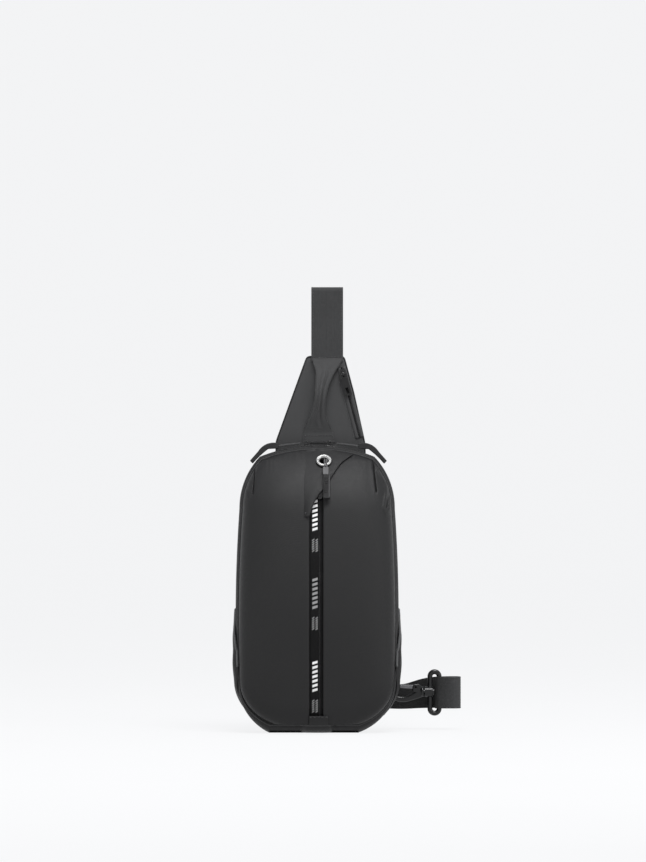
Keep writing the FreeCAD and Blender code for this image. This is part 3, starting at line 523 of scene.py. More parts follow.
def paint_shade_span(nodes, colour, fade_out, fade_in):
    """Painted shade on the cloth between two fades along X, each given by its start and end in metres."""
    x = nodes.add("ShaderNodeSeparateXYZ", [("Vector", nodes.coords)]).outputs["X"]
    before = nodes.maths("SUBTRACT", 1.0, nodes.ramp(x, *fade_out))
    unshaded = nodes.maths("MAXIMUM", before, nodes.ramp(x, *fade_in))
    base = nodes.shader.inputs["Base Color"].links[0].from_socket
    nodes.link("Base Color", nodes.mix(unshaded, shade(colour, 0.22), base))


def plastic_material(name, colour, roughness, grain_mm=0.5, depth=0.02, coat=0.0, tint=0.10, wear=0.4):
    """Moulded plastic or rubber with a fine eroded grain."""
    nodes = Nodes(name)
    height = nodes.times(nodes.noise(grain_mm, 3.0), depth)
    nodes.put({"Specular IOR Level": 0.3, "Coat Weight": coat, "Coat Roughness": 0.2})
    return finish_surface(nodes, colour, roughness, height, 20.0, tint, wear)


def metal_material(name, colour, roughness, metallic=1.0, scratches=0.006, wear=0.5, coat=0.0, specular=0.5):
    """Plated metal: soft polishing marks, smudges and brighter corners."""
    nodes = Nodes(name)
    stretch = [("Vector", nodes.coords), ("Scale", (1.0, 1.0, 0.12))]
    stretched = nodes.add("ShaderNodeMapping", stretch).outputs[0]
    inputs = [("Vector", stretched), ("Scale", 2600.0), ("Detail", 2.0)]
    polish = nodes.add("ShaderNodeTexNoise", inputs).outputs["Fac"]
    height = nodes.times(polish, scratches)
    nodes.put({"Metallic": metallic, "Specular IOR Level": specular})
    nodes.put({"Coat Weight": coat, "Coat Roughness": 0.12})
    return finish_surface(nodes, colour, roughness, height, 8.0, 0.08, wear)


def mesh_cloth_material(name, colour):
    """Spacer mesh: rows of small holes through a knitted face."""
    nodes = Nodes(name)
    flatten = [("Vector", nodes.coords), ("Scale", (1.0, 0.35, 1.0))]
    flat = nodes.add("ShaderNodeMapping", flatten).outputs[0]
    inputs = [("Vector", flat), ("Scale", 1 / (2.6 * MM)), ("Randomness", 0.12)]
    cells = nodes.add("ShaderNodeTexVoronoi", inputs).outputs["Distance"]
    holes = nodes.ramp(cells, 0.16, 0.34)
    relief = nodes.times(holes, 0.7)
    threads = nodes.times(nodes.weave((0.7, 0, 0.7)), 0.03)
    height = nodes.plus(relief, threads)
    material = finish_surface(nodes, colour, 0.85, height, 40.0, 0.08, 0.2)
    base = nodes.shader.inputs["Base Color"].links[0].from_socket
    # The holes are painted darker: painted shade inside them
    nodes.link("Base Color", nodes.mix(holes, shade(colour, 0.25), base))
    nodes.put({"Sheen Weight": 0.25})
    return material


FINE_WEAVE = (0.55, 0.55, 0.55)
WEBBING_WEAVE = (1.6, 0.0, 1.1)
COATED = cloth_material("coated_cloth", (0.0105, 0.0105, 0.0109), FINE_WEAVE, 0.012, 0.52, 0.0, 0.06, 0.25,
                        patch_mm=90.0, creases=0.10, specular=0.22)
YOKE_CLOTH = cloth_material("yoke_cloth", (0.030, 0.0302, 0.0310), FINE_WEAVE, 0.014, 0.60, 0.04, 0.07, 0.3,
                            patch_mm=60.0, creases=0.12, specular=0.3)
BASE_CLOTH = cloth_material("base_cloth", (0.007, 0.007, 0.0075), (0.8, 0.8, 0.8), 0.03, 0.75, 0.10, 0.12,
                            0.4)
GUSSET_CLOTH = cloth_material("gusset_cloth", (0.012, 0.012, 0.0125), FINE_WEAVE, 0.014, 0.58, 0.0, 0.08, 0.4,
                              patch_mm=50.0, creases=0.14, specular=0.2)
LINING = cloth_material("lining_cloth", (0.16, 0.16, 0.17), (0.4, 0.4, 0.4), 0.02, 0.8)
PIPING = cloth_material("piping_cloth", (0.010, 0.010, 0.0105), (0.5, 0.5, 0.5), 0.025, 0.6, 0.12, 0.1, 0.8)
BINDING = cloth_material("binding_tape", (0.032, 0.0325, 0.034), (0.7, 0.7, 0.7), 0.03, 0.7, 0.2, 0.1, 0.6)
PRINTED_TAPE = cloth_material("printed_tape", (0.003, 0.003, 0.0032), (0.9, 0.9, 0.9), 0.02, 0.8, 0.0, 0.1,
                              0.3, specular=0.15)
ZIP_TAPE = cloth_material("zip_tape", (0.0035, 0.0035, 0.0037), (0.6, 1.1, 0.6), 0.05, 0.85, 0.0, 0.1, 0.4,
                          specular=0.08)
STRAP_CLOTH = cloth_material("strap_cloth", (0.026, 0.0262, 0.027), (0.6, 0.6, 0.6), 0.02, 0.7, 0.15, 0.08,
                             0.5)
WEBBING = cloth_material("webbing", (0.020, 0.0203, 0.0210), WEBBING_WEAVE, 0.09, 0.75, 0.10, 0.10, 0.7,
                         patch_mm=30.0, creases=0.03)
# The strap's end: webbing a little lighter than the rest, with painted shade over the run behind the hook and
# up to its ring
WEBBING_END = cloth_material("webbing_end", (0.025, 0.0253, 0.0262), WEBBING_WEAVE, 0.09, 0.75, 0.05, 0.10,
                             0.7, patch_mm=30.0, creases=0.03, painted_shade_span=((0.060, 0.092), (0.144, 0.165)))
CORD_CLOTH = cloth_material("cord_cloth", (0.055, 0.055, 0.058), (0.5, 0.5, 0.7), 0.06, 0.8, 0.3)
THREAD = cloth_material("thread", (0.020, 0.020, 0.021), (0.3, 0.3, 0.3), 0.04, 0.6, 0.2, 0.1, 0.8)
AIR_MESH = mesh_cloth_material("air_mesh", (0.022, 0.0225, 0.0235))
WHITE_INK = plastic_material("white_ink", (0.62, 0.62, 0.62), 0.55, 0.4, 0.03, tint=0.12, wear=0.1)
GREY_INK = plastic_material("grey_ink", (0.20, 0.20, 0.20), 0.55, 0.4, 0.03, tint=0.15, wear=0.1)
ZIP_COIL = plastic_material("zip_coil", (0.010, 0.010, 0.0105), 0.38, 0.3, 0.01)
PULL_RUBBER = plastic_material("pull_rubber", (0.009, 0.0091, 0.0095), 0.62, 0.35, 0.05, wear=0.9)
DARK_RUBBER = plastic_material("dark_rubber", (0.004, 0.004, 0.0042), 0.72, 0.35, 0.05, wear=0.9)
FERRULE = plastic_material("ferrule_plastic", (0.045, 0.045, 0.047), 0.5, 0.4, 0.02, wear=0.3)
FRAME_PLASTIC = plastic_material("frame_plastic", (0.007, 0.007, 0.0073), 0.33, 0.4, 0.02, 0.3, wear=0.8)
BRIGHT_METAL = metal_material("bright_metal", (0.34, 0.34, 0.335), 0.44, scratches=0.002, wear=0.2)
DARK_METAL = metal_material("dark_metal", (0.006, 0.006, 0.0065), 0.22, 0.25, wear=1.0, coat=0.1)
HOOK_METAL = metal_material("hook_metal", (0.0035, 0.0035, 0.0038), 0.22, 0.0, wear=0.6, specular=0.36)
GATE_METAL = metal_material("gate_metal", (0.12, 0.12, 0.125), 0.2)


# ---------------------------------------------------------------- front panels

SEAM_INSET_SIDE = 3.6
SEAM_INSET_BASE = 10.5
SEAM_INSET_TOP = 4.2
INSET_LOW_Z = 46.0
INSET_HIGH_Z = 290.0
CHANNEL_HALF = 8.0
CHANNEL_DEPTH = 4.6
OUTLINE, OUTLINE_NORMAL = outline()


def seam_inset(z):
    """How far the front seam lies inside the outline: most under the base, least at the sides."""
    foot = np.clip((INSET_LOW_Z - z) / INSET_LOW_Z, 0, 1) ** 1.6
    crown = np.clip((z - INSET_HIGH_Z) / 50.0, 0, 1)
    under, over = SEAM_INSET_BASE - SEAM_INSET_SIDE, SEAM_INSET_TOP - SEAM_INSET_SIDE
    return SEAM_INSET_SIDE + under * foot + over * crown


SEAM = OUTLINE - OUTLINE_NORMAL * seam_inset(OUTLINE[:, 1])[:, None]


def right_edge(line, z):
    """X of an outline's right half at a height."""
    right = line[line[:, 0] > 0]
    order = np.argsort(right[:, 1])
    return np.interp(z, right[order, 1], right[order, 0])


def panel_y(x, z):
    """The domed front: it falls back to the seam as a superellipse does."""
    half = np.maximum(right_edge(SEAM, z), 1.0)
    s = np.clip(np.abs(x) / half, 0, 1)
    fall = 1 - (1 - s ** FALL_POWER) ** (1 / FALL_POWER)
    front = front_profile(z)
    return front + (seam_y(z) - front) * fall


def bell(distance, width):
    """A smooth bump, one at no distance."""
    return np.exp(-(distance / width) ** 2)


def along_segment(x, z, start, end):
    """Distance from a segment, and the signed distance from its line."""
    ax, az = start
    dx, dz = end[0] - ax, end[1] - az
    t = np.clip(((x - ax) * dx + (z - az) * dz) / (dx * dx + dz * dz), 0, 1)
    off = np.hypot(x - ax - t * dx, z - az - t * dz)
    return off, ((x - ax) * dz - (z - az) * dx) / math.hypot(dx, dz)


LEFT_DART = ((-73.5, 318.0), (-76.0, 283.0))
RIGHT_DART = ((66.0, 324.0), (70.0, 286.0))
SHOULDER_FOLDS = (((82.0, 303.0), (74.0, 316.0), 3.6), ((87.0, 292.0), (83.0, 268.0), 3.2),
                  ((-86.0, 298.0), (-80.0, 282.0), 0.9))


def panel_relief(x, z):
    """Millimetres that darts, folds, puckers and slack push the front cloth back."""
    push = 0.55 * np.sin(x / 23.0 + z / 61.0 + 0.6) * np.sin(z / 47.0 - x / 90.0)
    push = push + 0.30 * np.sin(x / 11.0 - z / 17.0) * bell(z - 300.0, 45.0)
    for dart in (LEFT_DART, RIGHT_DART):
        off, signed = along_segment(x, z, *dart)
        push = push + 2.2 * bell(off, 0.9) - 0.55 * bell(off, 4.5)
        push = push + 0.7 * np.tanh(signed / 5.0) * bell(off, 9.0)
    for start, end, depth in SHOULDER_FOLDS:
        off, signed = along_segment(x, z, start, end)
        push = push + depth * bell(off, 1.7) - 0.6 * depth * bell(np.abs(signed) + off - 7.0, 4.0)
    edge = np.clip((seam_top(x) - z) / 5.0, 0, 12)
    push = push + 0.35 * np.exp(-edge) * np.sin(x * 1.05 + 2.0 * np.sin(x / 9.0))
    low = np.clip((z - 12.0) / 5.0, 0, 12)
    return push + 0.25 * np.exp(-low) * np.sin(x * 0.9 + 1.5 * np.sin(x / 8.0))


def seam_top(x):
    """Z of the front seam where it follows the arch."""
    radius = ARCH_R - SEAM_INSET_TOP
    return ARCH_Z + np.sqrt(np.maximum(radius ** 2 - np.asarray(x, float) ** 2, 1.0))


def half_seam(side):
    """The front seam from the channel's foot round to its head, on one side."""
    edge = FRONT_ZIP_X + side * CHANNEL_HALF
    points = SEAM[side * SEAM[:, 0] > side * edge]
    centre = np.array([0.0, 150.0])
    angle = np.arctan2(side * (points[:, 0] - centre[0]), -(points[:, 1] - centre[1]))
    points = points[np.argsort(angle)]
    low = SEAM[SEAM[:, 1] < 16.0]
    low = low[np.argsort(low[:, 0])]
    foot = [edge, np.interp(edge, low[:, 0], low[:, 1])]
    head = [edge, float(seam_top(edge))]
    return np.vstack([foot, points, head])


def panel_grid(side, rows, columns):
    """Points across one half of the front, from the channel's edge out to the seam."""
    border = resampled(half_seam(side), rows, closed=False)
    t = np.linspace(0, 1, rows)
    eased = t - 0.11 * np.sin(2 * math.pi * t)
    edge = FRONT_ZIP_X + side * CHANNEL_HALF
    height = border[0, 1] + (border[-1, 1] - border[0, 1]) * eased
    across = np.sin(np.linspace(0, 1, columns) * math.pi / 2)
    x = edge + (border[:, :1] - edge) * across[None, :]
    z = height[:, None] + (border[:, 1:] - height[:, None]) * across[None, :] ** 1.5
    return x, z


# How long the cloth settles, in frames, and how far it may move, in millimetres
CLOTH_FRAMES = 20
CLOTH_CAP = 2.2
PANEL_ROWS, PANEL_COLUMNS = 121, 61
PANEL_THICKNESS = 0.9


def simulate_panel(obj, pinned):
    """Let the cloth fill out and slacken between its sewn edges."""
    group = obj.vertex_groups.new(name="sewn")
    group.add(pinned, 1.0, "REPLACE")
    rest = np.array([v.co[:] for v in obj.data.vertices])
    cloth = obj.modifiers.new("cloth", "CLOTH")
    cloth.settings.vertex_group_mass = "sewn"
    cloth.settings.quality = 5
    cloth.settings.mass = 0.25
    cloth.settings.tension_stiffness = 12
    cloth.settings.compression_stiffness = 12
    cloth.settings.bending_stiffness = 3.0
    cloth.settings.shrink_min = -0.006
    cloth.settings.use_pressure = True
    cloth.settings.uniform_pressure_force = 0.9
    cloth.settings.effector_weights.gravity = 0.35
    cloth.point_cache.frame_start = 1
    cloth.point_cache.frame_end = CLOTH_FRAMES
    for number in range(1, CLOTH_FRAMES + 1):
        bpy.context.scene.frame_set(number)
    apply_modifiers(obj)
    bpy.context.scene.frame_set(1)
    moved = np.array([v.co[:] for v in obj.data.vertices]) - rest
    length = np.linalg.norm(moved, axis=1)
    moved *= (np.minimum(length, CLOTH_CAP * MM) / np.maximum(length, 1e-9))[:, None]
    for vertex, was, shift in zip(obj.data.vertices, rest, moved):
        vertex.co = Vector(was + shift)
    obj.data.update()


def front_half(name, side, node):
    """One half of the front: simulated slack, then darts and puckers, then the cloth's thickness."""
    rows, columns = PANEL_ROWS, PANEL_COLUMNS
    x, z = panel_grid(side, rows, columns)
    points = lay(x, panel_y(x, z), z)
    obj = grid_object(name, points, COATED)
    border = [r * columns + c for r in range(rows) for c in range(columns)
              if r in (0, rows - 1) or c in (0, columns - 1)]
    simulate_panel(obj, border)
    subdivide(obj, 1)
    apply_modifiers(obj)
    co = np.array([v.co[:] for v in obj.data.vertices]) / MM
    push = panel_relief(co[:, 0], co[:, 2])
    co[:, 1] += push
    seam_gap = np.abs(co[:, 0] - FRONT_ZIP_X) - CHANNEL_HALF
    roll = np.clip(1 - seam_gap / 1.6, 0, 1)
    co[:, 1] += 1.2 * roll ** 2
    obj.data.vertices.foreach_set("co", (co * MM).ravel())
    obj.data.update()
    fold_in(obj, side)
    fix_front(obj)
    thicken(obj, PANEL_THICKNESS)
    place(obj, "root", "coated_cloth", node)


def fold_in(obj, side):
    """Turn the cloth's middle edge back into the zip channel."""
    edge = FRONT_ZIP_X + side * CHANNEL_HALF
    steps = [(0.25 * side, 2.0, 0), (0.0, CHANNEL_DEPTH, 0)]
    extrude_edge(obj, lambda v: abs(v.co.x / MM - edge) < 0.12, steps)


def extrude_edge(obj, chosen, steps):
    """Extrude the boundary edges whose ends are chosen, once for each step in millimetres."""
    bm = bmesh.new()
    bm.from_mesh(obj.data)
    edges = [e for e in bm.edges if e.is_boundary and all(chosen(v) for v in e.verts)]
    for step in steps:
        made = bmesh.ops.extrude_edge_only(bm, edges=edges)["geom"]
        edges = [g for g in made if isinstance(g, bmesh.types.BMEdge)]
        verts = [g for g in made if isinstance(g, bmesh.types.BMVert)]
        bmesh.ops.translate(bm, verts=verts, vec=Vector(step) * MM)
    bm.to_mesh(obj.data)
    bm.free()
    obj.data.polygons.foreach_set("use_smooth", [True] * len(obj.data.polygons))


def fix_front(obj, y_side=-1):
    """Make a sheet's faces look to the front, or with 1 to the back."""
    fix_normals(obj)
    if sum(p.normal.y * p.area for p in obj.data.polygons) * y_side < 0:
        obj.data.flip_normals()


# ---------------------------------------------------------------- gussets, base, seams and the main zip

MAIN_ZIP_LOW = 100.0
WALL_FOOT_Z = 40.0
WALL_THICKNESS = 1.0
REAR_BULGE_Y = 37.0


def gusset_ring():
    """The side wall from the front seam back to the zip, all round the bag."""
    seam_depth = panel_y(SEAM[:, 0], SEAM[:, 1])
    low = np.clip((WALL_FOOT_Z - OUTLINE[:, 1]) / WALL_FOOT_Z, 0, 1) ** 1.5
    round_depth = 9.0 + 12.0 * low
    columns = []
    for t in np.linspace(0, 1, 9):
        angle = t * math.pi / 2
        flat = SEAM + (OUTLINE - SEAM) * math.sin(angle)
        reach = np.minimum(round_depth, (ZIP_FRONT_Y - seam_depth) * 0.9)
        depth = seam_depth + reach * (1 - math.cos(angle))
        columns.append(lay(flat[:, 0], depth, flat[:, 1]))
    start = columns[-1]
    for t in np.linspace(0, 1, 8)[1:]:
        bulge = 0.7 * math.sin(math.pi * t) * np.clip(OUTLINE[:, 1] / WALL_FOOT_Z, 0, 1)
        flat = OUTLINE + OUTLINE_NORMAL * bulge[:, None] * 0.4
        depth = start[:, 1] + (ZIP_FRONT_Y - start[:, 1]) * t
        columns.append(lay(flat[:, 0], depth, flat[:, 1]))
    return np.stack(columns, axis=0)


def ring_columns(depths, lifts):
    """Rings round the outline at given depths, moved outward by given lifts."""
    rings = []
    for depth, lift in zip(depths, lifts):
        flat = OUTLINE + OUTLINE_NORMAL * lift
        rings.append(lay(flat[:, 0], float(depth), flat[:, 1]))
    return np.stack(rings, axis=0)


def above_base(points):
    """Keep a wall's points off the ground."""
    points[:, :, 2] = np.maximum(points[:, :, 2], 0.35)
    return points


def walls():
    """Front gusset, rear gusset and the lower wall that joins them under the zip's ends."""
    front = above_base(gusset_ring())
    ring = grid_object("front_gusset_shell", front, GUSSET_CLOTH, wrap=True)
    ripple(ring, 0.30)
    orient_outward(ring)
    extrude_edge(ring, lambda v: abs(v.co.y / MM - ZIP_FRONT_Y) < 0.05, [(0, 0.6, 0), (0, 0.2, 0)])
    thicken(ring, WALL_THICKNESS)
    place(ring, "root", "coated_cloth", "front_gusset")
    depths = (ZIP_REAR_Y, ZIP_REAR_Y + 1.2, REAR_BULGE_Y, REAR_SEAM_Y - 0.8, REAR_SEAM_Y)
    rear = above_base(ring_columns(depths, (-0.6, 0.0, 0.5, 0.2, -0.8)))
    cloth_sheet("rear_gusset_shell", rear, GUSSET_CLOTH, orient_outward, "coated_cloth", ["rear_gusset"],
                WALL_THICKNESS, wrap=True)
    lower = [i for i in range(len(OUTLINE)) if OUTLINE[i, 1] < MAIN_ZIP_LOW + 4]
    start = next(k for k in range(1, len(lower)) if lower[k] - lower[k - 1] != 1)
    lower = lower[start:] + lower[:start]
    depths = np.linspace(ZIP_FRONT_Y - 0.6, ZIP_REAR_Y + 0.6, 7)
    rings = above_base(ring_columns(depths, (-0.7, -0.2, 0.2, 0.3, 0.2, -0.2, -0.7)))[:, lower]
    cloth_sheet("lower_wall", rings, BASE_CLOTH, orient_outward, "base_cloth", [], WALL_THICKNESS)


def orient_outward(obj):
    """Turn a wall's faces away from the middle of the bag."""
    fix_normals(obj)
    centre = Vector((0, 20 * MM, 150 * MM))
    if sum((p.normal.dot(p.center - centre) * p.area for p in obj.data.polygons)) < 0:
        obj.data.flip_normals()


def ripple(obj, depth):
    """Slow, uneven fullness in a wall's cloth."""
    for vertex in obj.data.vertices:
        x, y, z = (c / MM for c in vertex.co)
        wave = math.sin(z / 9.0 + 1.3 * math.sin(z / 31.0)) * math.sin((y + 20) / 40.0 * math.pi)
        fade = min(1.0, abs(x) / 60.0) * min(1.0, z / 60.0)
        vertex.co.x += depth * wave * MM * (1 if x > 0 else -1) * fade


def base():
    """The flat bottom, a little dished between its edges."""
    xs = np.linspace(-LEFT_CORNER[0][0] + 0.6, RIGHT_CORNER[0][0] - 0.6, 41)
    ys = np.linspace(-9.0, REAR_SEAM_Y - 0.6, 17)
    x, y = np.meshgrid(xs, ys)
    z = 0.5 + 0.9 * np.sin((x - xs[0]) / (xs[-1] - xs[0]) * math.pi) * np.sin((y + 9) / 51.0 * math.pi)
    cloth_sheet("base_cloth_panel", lay(x, y, z), BASE_CLOTH, fix_normals, "base_cloth", ["base_panel"],
                0.4, offset=0.0)


def seams():
    """Piped seams: a covered cord round the front panel and another round the back."""
    depth = panel_y(SEAM[:, 0], SEAM[:, 1])
    path = lay(SEAM[:, 0], depth, SEAM[:, 1])
    normal = lay(OUTLINE_NORMAL[:, 0], 0.0, OUTLINE_NORMAL[:, 1])
    front = sweep("front_piping", path + normal * 0.5, round_section(1.15, 10), normal, PIPING, closed=True)
    place(front, "root", "piping_cloth", "piping_front")
    path = lay(OUTLINE[:, 0], REAR_SEAM_Y + 0.3, OUTLINE[:, 1])
    path[:, 2] = np.clip(path[:, 2], 1.6, None)
    rear = sweep("rear_piping", path - normal * 0.4, round_section(1.3, 10), normal, PIPING, closed=True)
    place(rear, "root", "piping_cloth", "piping_rear")


def zip_outline(lift):
    """The part of the outline that the main zip follows, from one end over the top to the other."""
    keep = OUTLINE[:, 1] > MAIN_ZIP_LOW
    points = OUTLINE[keep] + OUTLINE_NORMAL[keep] * lift
    normals = OUTLINE_NORMAL[keep]
    angle = np.arctan2(points[:, 0], points[:, 1] - 120.0)
    order = np.argsort(angle)
    return points[order], normals[order]


def main_zip():
    """Two woven tapes with a modelled coil between them."""
    points, normals = zip_outline(-1.1)
    path = lay(points[:, 0], ZIP_Y, points[:, 1])
    up = lay(normals[:, 0], 0.0, normals[:, 1])
    tapes = []
    for shift in (-4.6, 4.6):
        section = [(c + shift, s) for c, s in strap_section(7.8, 0.7, 9, 0.2)]
        tapes.append(sweep("tape", path, section, up, ZIP_TAPE))
    tape = join("main_zip_tape_pair", tapes)
    place(tape, "root", "zip_tape", "main_zip_tapes")
    coil = zip_coil("main_zip_teeth", path + up * 0.5, up, 1.25, 1.6)
    place(coil, "root", "zip_coil", "main_zip_coil")


TOOTH_RINGS = ((-0.35, 0.0, 0.55), (0.25, 0.42, 0.55), (1.0, 0.30, 0.5), (1.7, -0.1, 0.4))


def zip_coil(name, path, up, reach, pitch):
    """Interlocking nylon teeth: short round bars across the closure, each turned a little."""
    up = np.broadcast_to(np.asarray(up, float), path.shape)
    joined = resampled(np.hstack([path, up]), int(line_length(path) / pitch * 2), closed=False)
    centres, normals = joined[:, :3], joined[:, 3:]
    tangent = unit(np.gradient(centres, axis=0))
    stacks = []
    for k, (centre, t, n) in enumerate(zip(centres, tangent, normals)):
        side = np.cross(t, n) * reach * (1 if k % 2 else -1)
        stacks.append([[centre + side * across + n * high
                        + t * radius * 0.75 * math.cos(a) + n * radius * math.sin(a)
                        for a in turns(6)] for across, high, radius in TOOTH_RINGS])
    return solids(name, stacks, ZIP_COIL)


# ---------------------------------------------------------------- front zip, flap and marks

TAPE_DEPTH = 4.45
FRONT_ZIP_SPAN = (14.0, 300.0)
SLIT_X = (node_box("front_slider")[0][0] + node_box("front_slider")[1][0]) / 2


def front_zip():
    """The printed tape down the channel, its line of closed teeth and the plain marks printed on it."""
    zs = np.linspace(*FRONT_ZIP_SPAN, 150)
    depth = front_profile(zs) + TAPE_DEPTH
    path = lay(FRONT_ZIP_X, depth, zs)
    section = strap_section(2 * CHANNEL_HALF - 0.3, 0.7, 13, 0.2)
    tape = sweep("front_zip_tape", path, section, FORWARD, PRINTED_TAPE)
    place(tape, "root", "printed_tape", "front_zip_tapes")
    groove = path + np.array([SLIT_X - FRONT_ZIP_X, -0.25, 0.0])
    coil = zip_coil("front_zip_teeth", groove, FORWARD, 0.7, 1.5)
    place(coil, "root", "zip_coil", "front_zip_coil")
    marks("front_marks_white", WHITE_INK, WHITE_RUNS)
    marks("front_marks_grey", GREY_INK, GREY_RUNS)


# Each row: pitch, bar height, and the bars' ends across the tape
BOLD_ROW = (5.4, 3.0, ((-4.6, 1.6),))
TICK_ROWS = (2.6, 1.3, ((-5.0, -2.2), (-0.8, 2.0)))
# Each run: its top and bottom height, and whether its bars are bold
WHITE_RUNS = ((276.0, 238.0, True), (86.0, 48.0, True))
GREY_RUNS = ((230.0, 214.0, False), (184.0, 146.0, True), (138.0, 120.0, False), (40.0, 24.0, False))


def marks(name, material, runs):
    """Plain slanted bars printed on the tape: a bold row, or two fine rows of ticks."""
    stacks = []
    for top, bottom, bold in runs:
        pitch, bar, lanes = BOLD_ROW if bold else TICK_ROWS
        for k in range(int((top - bottom) / pitch)):
            z = top - k * pitch
            for low, high in lanes:
                xs = FRONT_ZIP_X + np.array([low, high, high, low])
                zs = z + np.array([-bar - 1.0, 1.0 - bar, 1.0, -1.0])
                face = front_profile(zs) + TAPE_DEPTH
                stacks.append([lay(xs, face - proud, zs) for proud in (0.47, 0.36)])
    place(solids(name, stacks, material, smooth=False), "root", "printed_tape")


def end_tab():
    """A folded cloth tab over the zip's lower end."""
    low, high = node_box("front_zip_end_tab")
    xs = np.linspace(low[0], high[0], 15)
    zs = np.linspace(low[2], high[2], 9)
    x, z = np.meshgrid(xs, zs)
    crown = 0.5 * np.sin((z - zs[0]) / (zs[-1] - zs[0]) * math.pi)
    lift = 1.5 + crown - 0.5 * np.abs((x - xs.mean()) / 11.0) ** 3
    y = front_profile(z) + 0.25 - lift
    cloth_sheet("zip_end_tab", lay(x, y, z), COATED, fix_front, "coated_cloth", ["front_zip_end_tab"],
                1.2, bevel=0.35)
    row = lay(xs, front_profile(zs[-1] - 1.2) - 1.75 + 0 * xs, zs[-1] - 1.2)
    thread = stitches("end_tab_stitches", row[1:-1], FORWARD)
    place(thread, "root", "binding_tape")


EYELET_LOW, EYELET_HIGH = node_box("eyelet")
EYELET = [(a + b) / 2 for a, b in zip(EYELET_LOW, EYELET_HIGH)]
EYELET_TILT = math.radians(42.3)
EYELET_AXIS = Vector((0.0, -math.cos(EYELET_TILT), math.sin(EYELET_TILT)))
BORE_R = 6.4
FLAP_EDGE = ((43.0, 333.0), (36.5, 327.5), (28.0, 320.0), (21.0, 310.5), (15.5, 302.0), (6.4, 288.5),
             (2.0, 283.5), (-3.0, 275.0), (-6.5, 266.5), (-9.5, 257.0))
FLAP_LEFT = -15.0
FLAP_LOW_Z = FLAP_EDGE[-1][1]


def flap():
    """The hooded flap over the zip's head: sewn at its left and top, free along a curved right edge."""
    edge = curve_through(FLAP_EDGE, 61)[::-1]
    climb = FLAP_LOW_Z + (seam_top(FLAP_LEFT) - FLAP_LOW_Z - 0.4) * np.linspace(0, 1, len(edge)) ** 1.1
    left = np.stack([np.full(len(edge), FLAP_LEFT), climb], axis=1)
    columns = 34
    rows = []
    for k in range(columns):
        t = k / (columns - 1)
        line = left + (edge - left) * t
        short = float(seam_top(line[-1, 0])) + 0.5 - line[-1, 1]
        line[:, 1] += short * np.clip(np.linspace(-3.0, 1.0, len(line)), 0, 1) ** 2
        rise = 2.2 * math.sin(min(1.0, t * 1.35) * math.pi / 2)
        y = panel_y(line[:, 0], line[:, 1]) - 0.3 - rise
        hole = np.hypot(line[:, 0] - EYELET[0], (line[:, 1] - EYELET[2]) / 0.74)
        y = y + 0.9 * bell(hole, 9.0)
        rows.append(lay(line[:, 0], y, line[:, 1]))
    points = np.stack(rows, axis=1)
    obj = grid_object("eyelet_flap_cloth", points, COATED)
    fix_front(obj)
    cut_hole(obj)
    thicken(obj, 1.1, bevel=0.3)
    place(obj, "root", "coated_cloth", "eyelet_flap")
    bound = points[:, -1] + np.array([0.0, -0.15, 0.0])
    rim = sweep("flap_edge", bound, round_section(0.62, 8), FORWARD, GUSSET_CLOTH)
    place(rim, "root", "coated_cloth")
    xs = np.linspace(FLAP_LEFT + 0.8, -9.8, 9)
    tack = lay(xs, panel_y(xs, 261.0) - 1.2, np.linspace(260.6, 262.6, 9))
    bar = sweep("flap_bartack", tack, round_section(0.8, 8, 0.5), FORWARD, THREAD)
    place(bar, "root", "binding_tape")


def cut_hole(obj):
    """Remove the cloth inside the eyelet's bore."""
    bm = bmesh.new()
    bm.from_mesh(obj.data)
    axis = EYELET_AXIS
    centre = Vector(EYELET)
    gone = []
    for face in bm.faces:
        d = face.calc_center_median() / MM - centre
        d = d - axis * d.dot(axis)
        if d.length < BORE_R and abs(face.calc_center_median().z / MM - EYELET[2]) < 9:
            gone.append(face)
    bmesh.ops.delete(bm, geom=gone, context="FACES")
    bm.to_mesh(obj.data)
    bm.free()


def curve_through(points, count):
    """A smooth Catmull-Rom line through a few points."""
    p = np.asarray(points, float)
    p = np.vstack([2 * p[0] - p[1], p, 2 * p[-1] - p[-2]])
    out = []
    for k in range(1, len(p) - 2):
        for t in np.linspace(0, 1, 12, endpoint=False):
            a = 2 * p[k]
            b = p[k + 1] - p[k - 1]
            c = 2 * p[k - 1] - 5 * p[k] + 4 * p[k + 1] - p[k + 2]
            d = -p[k - 1] + 3 * p[k] - 3 * p[k + 1] + p[k + 2]
            out.append(0.5 * (a + b * t + c * t * t + d * t ** 3))
    out.append(p[-2])
    return resampled(np.array(out), count, closed=False)


# ---------------------------------------------------------------- lining, side pockets and the back


def disc_grid(points, rings, power=1.0):
    """Rings from a closed outline's middle out to it, and each ring's fraction of the way."""
    centre = points.mean(axis=0)
    t = np.linspace(0.02, 1, rings) ** power
    return centre + (points - centre) * t[:, None, None], t


def disc_object(name, rings, material):
    """A closed-centre surface from rings of points."""
    count = rings.shape[1]
    middle = rings[0].mean(axis=0)
    verts = np.vstack([rings.reshape(-1, 3), middle])
    faces = grid_faces(len(rings), count, wrap_columns=True)
    faces += [(len(verts) - 1, k, (k + 1) % count) for k in range(count)]
    return mesh_object(name, verts, faces, material)


LINING_DEPTH = 9.8
LINING_BACK_Y = 34.2
LINING_MEET_Y = 33.0
SLIP_Y = 32.6
SLIP_SIZE = (116.0, 130.0)


